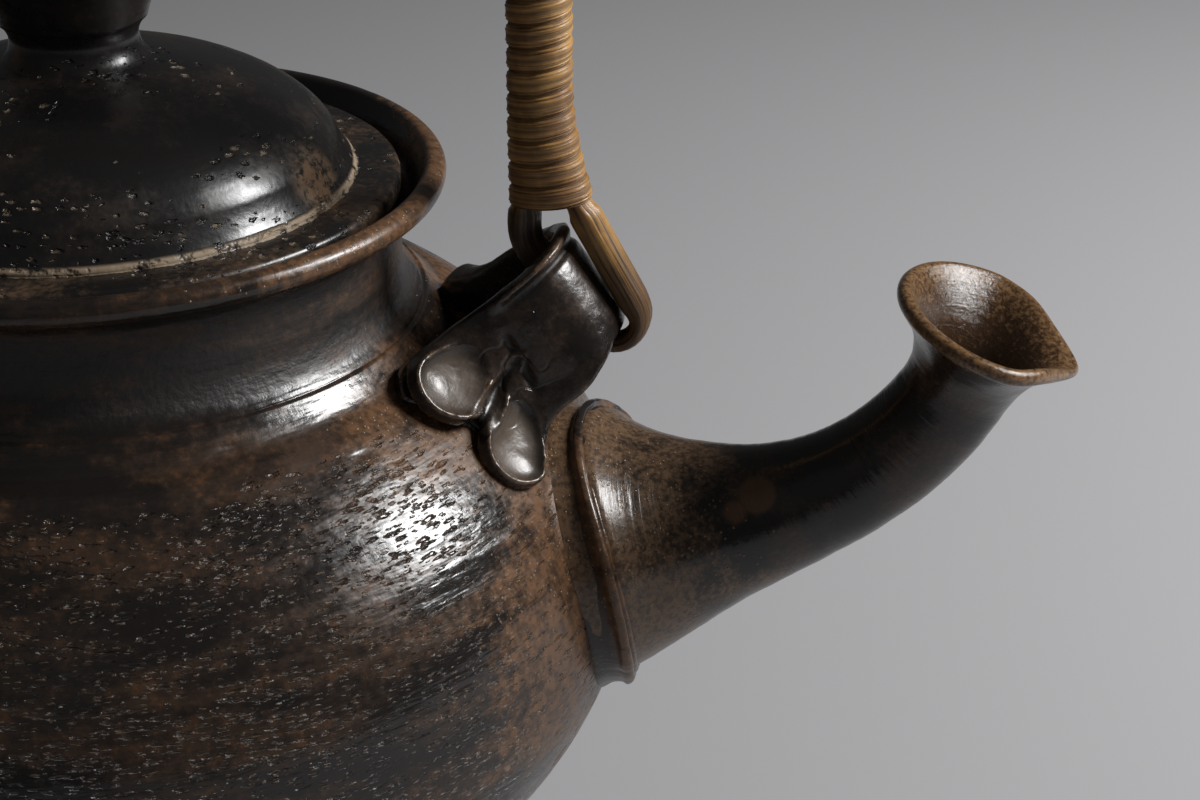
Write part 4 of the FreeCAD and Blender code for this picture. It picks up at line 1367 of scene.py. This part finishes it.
lugMarks = {
    "Lump size": 0.009, "Lump depth": 0.0008, "Line gap": 0.004, "Line depth": 0.0,
    "Pit size": 0.0030, "Pit stretch": 1.0, "Pit depth": 0.00025, "Pit share": 0.1,
}


# One even skin over joined lumps of clay
def evenSkin(piece):
    remesh = piece.modifiers.new("skin", "REMESH")
    remesh.mode = "VOXEL"
    remesh.voxel_size = lug["grain"] * mm
    relax = piece.modifiers.new("relax", "SMOOTH")
    relax.factor = lug["relax"]
    relax.iterations = lug["relaxSteps"]
    applied(piece)


# Presses what touches the belly a little way into it
def sinkFoot(piece):
    spots = pointsOf(piece)
    touching = outsideBelly(spots) < lug["near"]
    inward = spots - np.array([0, 0, pot["bellyHeight"]])
    inward /= np.linalg.norm(inward, axis=1)[:, None]
    spots[touching] -= inward[touching] * lug["sink"]
    setPoints(piece, spots)


def shoulderZ(radius):
    return pot["bellyHeight"] + ovalHeight(pot["bellyRadius"], pot["shoulderRise"], radius)


def lugAxes():
    slope = math.radians(lug["slope"])
    along = np.array([math.cos(slope), 0, -math.sin(slope)])
    outward = np.array([math.sin(slope), 0, math.cos(slope)])
    crest = np.array([lug["radius"], 0, shoulderZ(lug["radius"])]) + outward * lug["rise"]
    return along, outward, crest


def eased(value, low, high):
    share = np.clip((value - low) / (high - low), 0, 1)
    return share * share * (3 - 2 * share)


# Sideways place, drop and lean of the strap's middle at a distance from its crest
def strapPath(run):
    p = lug
    lean = math.radians(p["lean"])
    toe = math.radians(p["toeAngle"])
    crestRun = p["crestRadius"] * lean
    toeRun = p["toeRadius"] * (lean - toe)
    arch = np.minimum(run, crestRun) / p["crestRadius"]
    leg = np.clip(run - crestRun, 0, p["leg"])
    bent = lean - np.clip(run - crestRun - p["leg"], 0, toeRun) / p["toeRadius"]
    end = np.maximum(run - crestRun - p["leg"] - toeRun, 0)
    sideways = p["crestRadius"] * np.sin(arch) + leg * math.cos(lean)
    sideways += p["toeRadius"] * (math.sin(lean) - np.sin(bent)) + end * math.cos(toe)
    drop = p["crestRadius"] * (1 - np.cos(arch)) + leg * math.sin(lean)
    drop += p["toeRadius"] * (np.cos(bent) - math.cos(lean)) + end * math.sin(toe)
    return sideways, drop, np.where(run < crestRun, arch, bent)


# How far below the crest the belly lies, at places along and across the strap
def bellyDrop(slide, sideways):
    along, outward, crest = lugAxes()
    start = crest + np.outer(slide, along) + np.outer(sideways, (0, 1, 0))
    deepest = np.full(len(slide), lug["searchDeep"])

    def clear(drop):
        return outsideBelly(start - np.outer(drop, outward)) > 0

    return closedIn(0 * deepest, deepest, lug["searchSteps"], clear)


# Points round the strap, its dish and its folds, with reach from -1 to 1 between the tips of its toes
def strapSection(reach):
    p = lug
    along, outward, crest = lugAxes()
    side = np.array([0, math.copysign(1, reach), 0])
    turn = np.arange(p["points"]) * 2 * math.pi / p["points"]
    across = np.sign(np.cos(turn)) * np.abs(np.cos(turn)) ** p["square"]
    lift = np.sign(np.sin(turn)) * np.abs(np.sin(turn)) ** p["square"]
    footWidth = p["lobeApart"] + p["lobeRadius"]
    place = across * footWidth
    fromLobe = np.abs(place) - p["lobeApart"]
    tip = p["lobeRun"] + np.sqrt(np.maximum(p["lobeRadius"] ** 2 - fromLobe ** 2, p["notchRun"] ** 2))
    run = abs(reach) * tip
    sideways, drop, slant = strapPath(run)
    share = np.minimum(run / p["lobeRun"], 1.0)
    width = np.where(across < 0, p["innerWidth"], p["outerWidth"])
    slide = across * (width + (footWidth - width) * share ** 3) + p["lobeShift"] * share ** 2
    tilt = bellyDrop(slide, sideways) - bellyDrop(np.full_like(slide, p["lobeShift"]), sideways)
    drop = drop + p["settle"] * tilt * eased(run, p["settleFrom"], p["lobeRun"])
    slide += p["wing"] * np.maximum(across, 0) ** 2 * hump(run, p["wingAt"], p["wingSpread"])
    toBrink = np.clip((tip - run) / p["edgeRound"], p["edgeLeast"], 1)
    rounded = np.sqrt(1 - (1 - toBrink) ** 2)
    foot = eased(run, p["footFrom"] * p["lobeRun"], p["lobeRun"])
    half = p["thick"] / 2 + foot * np.where(lift > 0, p["footThick"], p["footDeep"])
    half -= p["eyeRoom"] * (lift < 0) * (1 - eased(run, *p["eyeFade"]))
    upper = 1 - eased(run, *p["upperEnd"])
    relief = p["bead"] * hump(across, p["beadAt"], p["beadWidth"]) * upper * eased(run, *p["beadFrom"])
    relief -= p["groove"] * hump(across, p["grooveAt"], p["grooveWidth"]) * upper
    roll = p["outerRoll"] * np.maximum(across, 0) ** 5
    relief += roll * eased(run, *p["rollFrom"]) * (1 - eased(run, *p["rollTo"]))
    beyond = run - p["lobeRun"]
    oval = np.hypot(fromLobe / p["dishWide"], beyond / np.where(beyond > 0, p["dishOut"], p["dishUp"]))
    dish = np.maximum(1 - oval ** 2, 0) ** p["dishPower"]
    relief -= p["dish"] * dish
    relief += p["brim"] * hump(oval, p["brimAt"], p["brimWidth"]) * eased(beyond, *p["brimFrom"])
    relief -= p["notch"] * hump(place, 0, p["notchWide"]) * eased(run, *p["notchFrom"])
    past = run - p["creaseRun"]
    crease = hump(past, p["creaseSlant"] * place, p["creaseWidth"])
    relief -= p["crease"] * (crease * (1 - eased(np.abs(place), *p["creaseTo"])))
    raised = lift * half * rounded + relief * np.clip(lift * 2, 0, 1) * rounded
    normal = np.outer(np.cos(slant), outward) + np.outer(np.sin(slant), side)
    middle = crest - np.outer(drop + p["thick"] / 2, outward)
    middle = middle + np.outer(sideways, side) + np.outer(slide, along)
    folded = hump(past, p["foldAfter"], p["foldWidth"]) * (1 - eased(np.abs(place), *p["foldTo"]))
    return middle + normal * raised[:, None], dish * (lift > p["dishAbove"]), folded


# Pushes the points near a spot along a direction
def pressed(spots, spot, direction, depth, reach):
    away = np.linalg.norm(spots - spot, axis=1)
    return spots + np.outer(depth * hump(away, 0, reach), direction)


# How far each point stands above the mean of its neighbours, from -1 to 1: raised edges take a worn warm
# brown, hollows a painted shade
def edgeWearAndHollowShade(piece):
    spots = pointsOf(piece)
    pairs = np.zeros(len(piece.data.edges) * 2, np.int32)
    piece.data.edges.foreach_get("vertices", pairs)
    pairs = pairs.reshape(-1, 2)
    ways = ((0, 1), (1, 0))
    total = np.zeros_like(spots)
    count = np.zeros(len(spots))
    for a, b in ways:
        np.add.at(total, pairs[:, a], spots[pairs[:, b]])
        np.add.at(count, pairs[:, a], 1)
    count = np.maximum(count, 1)
    stand = ((spots - total / count[:, None]) * normalsOf(piece)).sum(1)
    for step in range(lug["wearSteps"]):
        spread = np.zeros(len(spots))
        for a, b in ways:
            np.add.at(spread, pairs[:, a], stand[pairs[:, b]])
        stand = (stand + spread / count) / 2
    return np.clip(stand / lug["wearRange"], -1, 1)


def makeLug(name, node, facing):
    p = lug
    rows = [strapSection(reach) for reach in np.linspace(-1, 1, 2 * p["steps"] + 1)]
    shape, dish, folded = (np.concatenate(part) for part in zip(*rows))
    count = p["points"]
    ends = [tuple(reversed(range(count))), tuple(range((len(rows) - 1) * count, len(rows) * count))]
    piece = newPiece(name, shape, ringFaces(len(rows), count) + ends)
    outsideUp(piece)
    evenSkin(piece)
    spots = pointsOf(piece)
    finder = KDTree(len(shape))
    for index, spot in enumerate(shape):
        finder.insert(spot, index)
    finder.balance()
    nearest = [finder.find(spot)[1] for spot in spots]
    along, outward, crest = lugAxes()
    corner = crest - along * p["innerWidth"]
    push = outward * p["knuckleLean"][0] - along * p["knuckleLean"][1]
    spots = pressed(spots, corner, push, p["knuckle"], p["knuckleReach"])
    spots[:, 0] *= facing
    setPoints(piece, spots)
    if facing < 0:
        piece.data.flip_normals()
    sinkFoot(piece)
    mark(piece, "marks", np.ones(len(spots)))
    mark(piece, "along", spots[:, 2] * mm)
    mark(piece, "worn", edgeWearAndHollowShade(piece))
    mark(piece, "dish", dish[nearest])
    mark(piece, "folded", folded[nearest])
    finishClay(piece, "pot", node, lugGlaze, lugMarks)


makeLug("frontLug", "front_lug", 1)
makeLug("rearLug", "rear_lug", -1)


# Canes and their binding follow one arch over the lugs, in the plane of the spout
handle = dict(
    armInset=9.1, armRise=48.8, thick=4.3, width=6.0, gap=0.1, loopGap=0.35, tailRise=34.8, tailGap=0.4,
    tuckRise=17.8, tuckIn=0.8, tuckRound=8.0, tuckEase=80.0, forkRise=19.6, forkRound=14.0, bindingRise=10.6,
    broadFrom=1.0, broadTo=1.5, routeStep=0.9,
)


def flatPart(spot):
    return np.array([spot[0], spot[2]])


def tangentCorner(start, corner, end):
    weight = (corner - start) @ (end - start) / np.linalg.norm(corner - start) / np.linalg.norm(end - start)
    return (start + end + corner * (2 * weight)) / (2 + 2 * weight)


# Straight runs with their corners rounded
def roundedRun(points, radii, step):
    runs = []
    start = points[0]
    for corner, after, radius in zip(points[1:-1], points[2:], radii):
        inward = (start - corner) / np.linalg.norm(start - corner)
        onward = (after - corner) / np.linalg.norm(after - corner)
        reach = radius / math.tan(math.acos(inward @ onward) / 2)
        enter = corner + inward * reach
        leave = corner + onward * reach
        runs.append(lineRun(start, enter, step))
        runs.append(arcRun(enter, tangentCorner(enter, corner, leave), leave, step))
        start = leave
    runs.append(lineRun(start, points[-1], step))
    return runs


def handlePlaces():
    h = handle
    along, outward, crest = (flatPart(v) for v in lugAxes())
    armX = crest[0] - h["armInset"]
    half = (h["thick"] + h["gap"]) / 2
    places = dict(armX=armX, innerX=armX - half, outerX=armX + half, archZ=crest[1] + h["armRise"])
    places["fork"] = np.array([places["outerX"], crest[1] + h["forkRise"]])
    places["tailZ"] = crest[1] + h["tailRise"]
    places["tuckZ"] = crest[1] + h["tuckRise"]
    places["bindingZ"] = crest[1] + h["bindingRise"]
    edge = lug["thick"] / 2
    hub = crest - outward * edge + along * (lug["outerWidth"] - edge)
    radius = edge + h["loopGap"] + h["thick"] / 2
    reach = places["fork"] - hub
    bearing = math.atan2(reach[1], reach[0]) + math.asin(radius / np.linalg.norm(reach)) - math.pi / 2
    places["enter"] = hub - outward * radius
    places["leave"] = hub + np.array([math.cos(bearing), math.sin(bearing)]) * radius
    middle = (places["enter"] - hub) + (places["leave"] - hub) + along * radius
    places["hook"] = hub + middle / np.linalg.norm(middle) * radius
    back = places["enter"][0] - places["innerX"] + h["tuckIn"]
    places["tuck"] = places["enter"] - along * (back / along[0])
    return places


def archRun(radius, archZ, step):
    return arcRun((radius, archZ), (0, archZ + radius), (-radius, archZ), step)


def bothSides(front, arch):
    run = chain(front)
    rear = run[::-1] * (-1, 1)
    return chain([run, arch, rear])


def routePiece(name, run):
    points = np.stack([run[:, 0], np.zeros(len(run)), run[:, 1]], 1)
    edges = [(i, i + 1) for i in range(len(run) - 1)]
    return newPiece(name, points, [], edges)


sideAxis = (0.0, 1.0, 0.0)  # across the flat route


# Both handle trees start with the route as a curve, its length and a tube of unit size to bend onto it
def startSweep(tree, take, around):
    curve = put(tree, "GeometryNodeMeshToCurve", {0: take["Route"]}).outputs[0]
    length = put(tree, "GeometryNodeCurveLength", {0: curve}).outputs[0]
    sockets = {"Vertices": around, "Side Segments": take["Steps"], "Radius": 1.0, "Depth": 1.0}
    tube = put(tree, "GeometryNodeMeshCylinder", sockets, fill_type="NGON").outputs[0]
    place = put(tree, "GeometryNodeInputPosition").outputs[0]
    return curve, length, tube, separated(tree, place)


def outwardFrom(tree, tangent):
    return vectors(tree, "NORMALIZE", vectors(tree, "CROSS_PRODUCT", sideAxis, tangent))


def crossways(tree, outward, away, sideways):
    return vectors(tree, "ADD", scaled(tree, outward, away), scaled(tree, sideAxis, sideways))


def movedTo(tree, geometry, spot):
    return put(tree, "GeometryNodeSetPosition", {"Geometry": geometry, "Position": spot}).outputs[0]


# Shape of the canes' fibres, and how soon a cane swells above its hook and narrows at the binding
fibreShape = dict(
    draw=0.03, ridgeMiddle=0.75, ridgeScale=0.5, furrow=(0.47, 0.36), swellRise=7.0, swellFall=2.0,
)


# Sweeps a fibrous oval along a flat route
def makeCaneTree():
    p = fibreShape
    tree = bpy.data.node_groups.new("fibrousCane", "GeometryNodeTree")
    addSockets(tree, "Geometry", ["Route"])
    addSockets(tree, "Float", ["Thick", "Width", "Ridge depth", "Ridge size"])
    addSockets(tree, "Float", ["Broad low", "Broad high", "Broad", "Slim"])
    addSockets(tree, "Int", ["Around", "Steps"])
    addSockets(tree, "Material", ["Cane"])
    addSockets(tree, "Geometry", ["Cane"], "OUTPUT")
    take = put(tree, "NodeGroupInput").outputs
    curve, length, tube, parts = startSweep(tree, take, take["Around"])
    halfThick = times(tree, times(tree, parts[0], take["Thick"]), 0.5)
    halfWidth = times(tree, times(tree, parts[1], take["Width"]), 0.5)
    along = times(tree, plus(tree, parts[2], 0.5), length)
    thread = combined(tree, halfThick, halfWidth, along)
    kept = storeNamed(tree, tube, "thread", thread, "FLOAT_VECTOR")
    given = readNamed(tree, "thread", "FLOAT_VECTOR")
    own = separated(tree, given)
    sockets = {"Curves": curve, "Factor": over(tree, own[2], length)}
    sample = put(tree, "GeometryNodeSampleCurve", sockets, mode="FACTOR").outputs
    outward = outwardFrom(tree, sample["Tangent"])
    slow = vectors(tree, "MULTIPLY", given, (1.0, 1.0, p["draw"]))
    ridge = noise(tree, slow, over(tree, p["ridgeScale"], take["Ridge size"]), 2.0)
    level = separated(tree, sample["Position"])[2]
    rising = ease(tree, level, take["Broad low"], plus(tree, take["Broad low"], p["swellRise"] * mm))
    falling = ease(tree, level, take["Broad high"], minus(tree, take["Broad high"], p["swellFall"] * mm))
    wider = times(tree, times(tree, rising, falling), take["Broad"])
    thinner = times(tree, minus(tree, 1.0, rising), take["Slim"])
    broad = times(tree, own[0], plus(tree, minus(tree, wider, thinner), 1.0))
    section = crossways(tree, outward, broad, own[1])
    reach = plus(tree, vectors(tree, "LENGTH", section), 1e-6)
    grown = over(tree, times(tree, minus(tree, ridge, p["ridgeMiddle"]), take["Ridge depth"]), reach)
    section = scaled(tree, section, plus(tree, grown, 1.0))
    # Painted shade: the low places between the ridges are marked for darkening
    furrowed = storeNamed(tree, kept, "furrow", ease(tree, ridge, *p["furrow"]))
    spot = vectors(tree, "ADD", sample["Position"], section)
    endTree(tree, movedTo(tree, furrowed, spot), take["Cane"])
    return tree


caneMarks = {
    "Thick": handle["thick"] * mm, "Width": handle["width"] * mm, "Ridge depth": 0.55 * mm,
    "Ridge size": 0.62 * mm, "Around": 96, "Steps": 480, "Broad": 0.36, "Slim": 0.22,
}


def makeCanes():
    tree = makeCaneTree()
    h = handle
    at = handlePlaces()
    step = h["routeStep"]
    tail = [np.array([at["innerX"], at["tailZ"]]), np.array([at["innerX"], at["tuckZ"]])]
    tail += [at["tuck"], at["enter"]]
    front = roundedRun(tail, [h["tuckEase"], h["tuckRound"]], step)
    front.append(arcRun(at["enter"], at["hook"], at["leave"], step))
    arm = [at["leave"], at["fork"], np.array([at["outerX"], at["archZ"]])]
    front += roundedRun(arm, [h["forkRound"]], step)
    inner = [lineRun((at["innerX"], at["tailZ"] + h["tailGap"]), (at["innerX"], at["archZ"]), step)]
    routes = {
        "handleCane": ("handle_cane", bothSides(front, archRun(at["outerX"], at["archZ"], step))),
        "fillerCane": ("filler_cane", bothSides(inner, archRun(at["innerX"], at["archZ"], step))),
    }
    values = dict(caneMarks, Cane=wholeCane)
    values["Broad low"] = (at["hook"][1] + h["broadFrom"]) * mm
    values["Broad high"] = (at["bindingZ"] + h["broadTo"]) * mm
    for name, (node, run) in routes.items():
        piece = routePiece(name, run)
        runTree(piece, tree, values)
        finishPiece(piece, "handle", [node], wholeCane)


makeCanes()


# Lengths of split cane, from front to rear, and the shape of the strip
binding = dict(
    names=("front_binding", "front_bend_binding", "grip_binding", "rear_bend_binding", "rear_binding"),
    seedStep=3.1, square=0.45, firstTurn=0.25, slackRate=1.7, widthLeast=0.88, widthSlack=0.2, endRoom=0.2,
    forkPower=1.7, topFrom=(0.0, 0.9), tuckTurns=0.3, edgeFurrow=(0.80, 0.97), combFurrow=(0.42, 0.08),
)


# Winds a flat ridged strip round the canes, wider where they part at the fork
def makeBindingTree():
    p = binding
    tree = bpy.data.node_groups.new("woundStrip", "GeometryNodeTree")
    addSockets(tree, "Geometry", ["Route"])
    addSockets(tree, "Float", ["Start", "Length", "Turns", "Radius", "Strip width", "Strip thick", "Crown"])
    addSockets(tree, "Float", ["Ridge depth", "Ridges", "Fork run", "Fork spread"])
    addSockets(tree, "Float", ["Tuck start", "Tuck end", "Tuck depth", "Slack", "Seed"])
    addSockets(tree, "Int", ["Across", "Steps"])
    addSockets(tree, "Material", ["Cane"])
    addSockets(tree, "Geometry", ["Binding"], "OUTPUT")
    take = put(tree, "NodeGroupInput").outputs
    curve, length, tube, parts = startSweep(tree, take, take["Across"])
    square = []
    for part in (parts[0], parts[1]):
        size = maths(tree, "POWER", maths(tree, "ABSOLUTE", part), p["square"])
        square.append(times(tree, maths(tree, "SIGN", part), size))
    strip = combined(tree, square[0], square[1], plus(tree, parts[2], 0.5))
    kept = storeNamed(tree, tube, "strip", strip, "FLOAT_VECTOR")
    own = separated(tree, readNamed(tree, "strip", "FLOAT_VECTOR"))
    turns = times(tree, own[2], take["Turns"])
    angle = times(tree, plus(tree, turns, p["firstTurn"]), 2 * math.pi)
    slack = noise(tree, combined(tree, times(tree, turns, p["slackRate"]), take["Seed"]), 1.0, 2.0)
    widen = plus(tree, p["widthLeast"], times(tree, slack, p["widthSlack"]))
    widen = times(tree, take["Strip width"], widen)
    across = times(tree, times(tree, own[0], widen), 0.5)
    run = plus(tree, plus(tree, take["Start"], times(tree, own[2], take["Length"])), across)
    endRoom = p["endRoom"] * mm
    sockets = {0: run, 1: endRoom, 2: minus(tree, length, endRoom)}
    run = put(tree, "ShaderNodeClamp", sockets).outputs[0]
    sample = put(tree, "GeometryNodeSampleCurve", {"Curves": curve, "Length": run}, mode="LENGTH").outputs
    near = maths(tree, "MINIMUM", run, minus(tree, length, run))
    parted = maths(tree, "MAXIMUM", minus(tree, 1.0, over(tree, near, take["Fork run"])), 0.0)
    parted = times(tree, maths(tree, "POWER", parted, p["forkPower"]), take["Fork spread"])
    crown = times(tree, minus(tree, 1.0, times(tree, own[0], own[0])), take["Crown"])
    comb = times(tree, times(tree, own[0], take["Ridges"]), math.pi / 2)
    comb = maths(tree, "ABSOLUTE", maths(tree, "SINE", comb))
    valley = times(tree, minus(tree, 1.0, comb), take["Ridge depth"])
    rise = times(tree, minus(tree, crown, valley), ease(tree, own[1], *p["topFrom"]))
    thick = times(tree, plus(tree, own[1], 1.0), times(tree, take["Strip thick"], 0.5))
    rise = plus(tree, rise, thick)
    rise = plus(tree, rise, times(tree, centred(tree, slack), take["Slack"]))
    left = minus(tree, take["Turns"], turns)
    tuck = times(tree, ease(tree, turns, p["tuckTurns"], 0.0), take["Tuck start"])
    tuck = plus(tree, tuck, times(tree, ease(tree, left, p["tuckTurns"], 0.0), take["Tuck end"]))
    rise = minus(tree, rise, times(tree, tuck, take["Tuck depth"]))
    radius = plus(tree, take["Radius"], rise)
    halfGap = times(tree, parted, 0.5)
    longWay = times(tree, maths(tree, "COSINE", angle), plus(tree, radius, halfGap))
    longWay = plus(tree, longWay, halfGap)
    sideWay = times(tree, maths(tree, "SINE", angle), radius)
    section = crossways(tree, outwardFrom(tree, sample["Tangent"]), longWay, sideWay)
    moved = movedTo(tree, kept, vectors(tree, "ADD", sample["Position"], section))
    wound = times(tree, angle, take["Radius"])
    thread = combined(tree, across, times(tree, own[1], take["Strip thick"]), wound)
    named = storeNamed(tree, moved, "thread", thread, "FLOAT_VECTOR")
    # Painted shade between the strip's ridges and at its edges, between turns
    edge = ease(tree, maths(tree, "ABSOLUTE", own[0]), *p["edgeFurrow"])
    furrow = maths(tree, "MAXIMUM", ease(tree, comb, *p["combFurrow"]), edge)
    endTree(tree, storeNamed(tree, named, "furrow", furrow), take["Cane"])
    return tree


bindingMarks = {
    "Turns": 16.0, "Radius": 4.42 * mm, "Strip width": 3.95 * mm, "Strip thick": 0.62 * mm,
    "Crown": 0.50 * mm, "Ridge depth": 0.26 * mm, "Ridges": 7.0, "Fork run": 22.0 * mm,
    "Fork spread": 4.3 * mm, "Tuck depth": 0.9 * mm, "Slack": 0.4 * mm, "Across": 72, "Steps": 560,
}


def makeBindings():
    tree = makeBindingTree()
    at = handlePlaces()
    step = handle["routeStep"]
    arm = [lineRun((at["armX"], at["bindingZ"]), (at["armX"], at["archZ"]), step)]
    route = bothSides(arm, archRun(at["armX"], at["archZ"], step))
    whole = 2 * (at["archZ"] - at["bindingZ"]) + math.pi * at["armX"]
    last = len(binding["names"]) - 1
    share = whole / len(binding["names"])
    half = bindingMarks["Strip width"] / 2
    for number, node in enumerate(binding["names"]):
        words = node.split("_")
        piece = routePiece(words[0] + "".join(word.capitalize() for word in words[1:]), route)
        values = dict(bindingMarks, Cane=splitCane)
        values["Start"] = number * share * mm + (half if number == 0 else 0.0)
        values["Length"] = share * mm - (half if number in (0, last) else 0.0)
        values["Tuck start"] = float(number == 0)
        values["Tuck end"] = float(number == last)
        values["Seed"] = number * binding["seedStep"]
        runTree(piece, tree, values)
        finishPiece(piece, "handle", [node], splitCane)


makeBindings()
print("all pieces made")

# The strainer keeps its CAD shape
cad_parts["spout_strainer"].data.materials.clear()
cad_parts["spout_strainer"].data.materials.append(potGlaze)
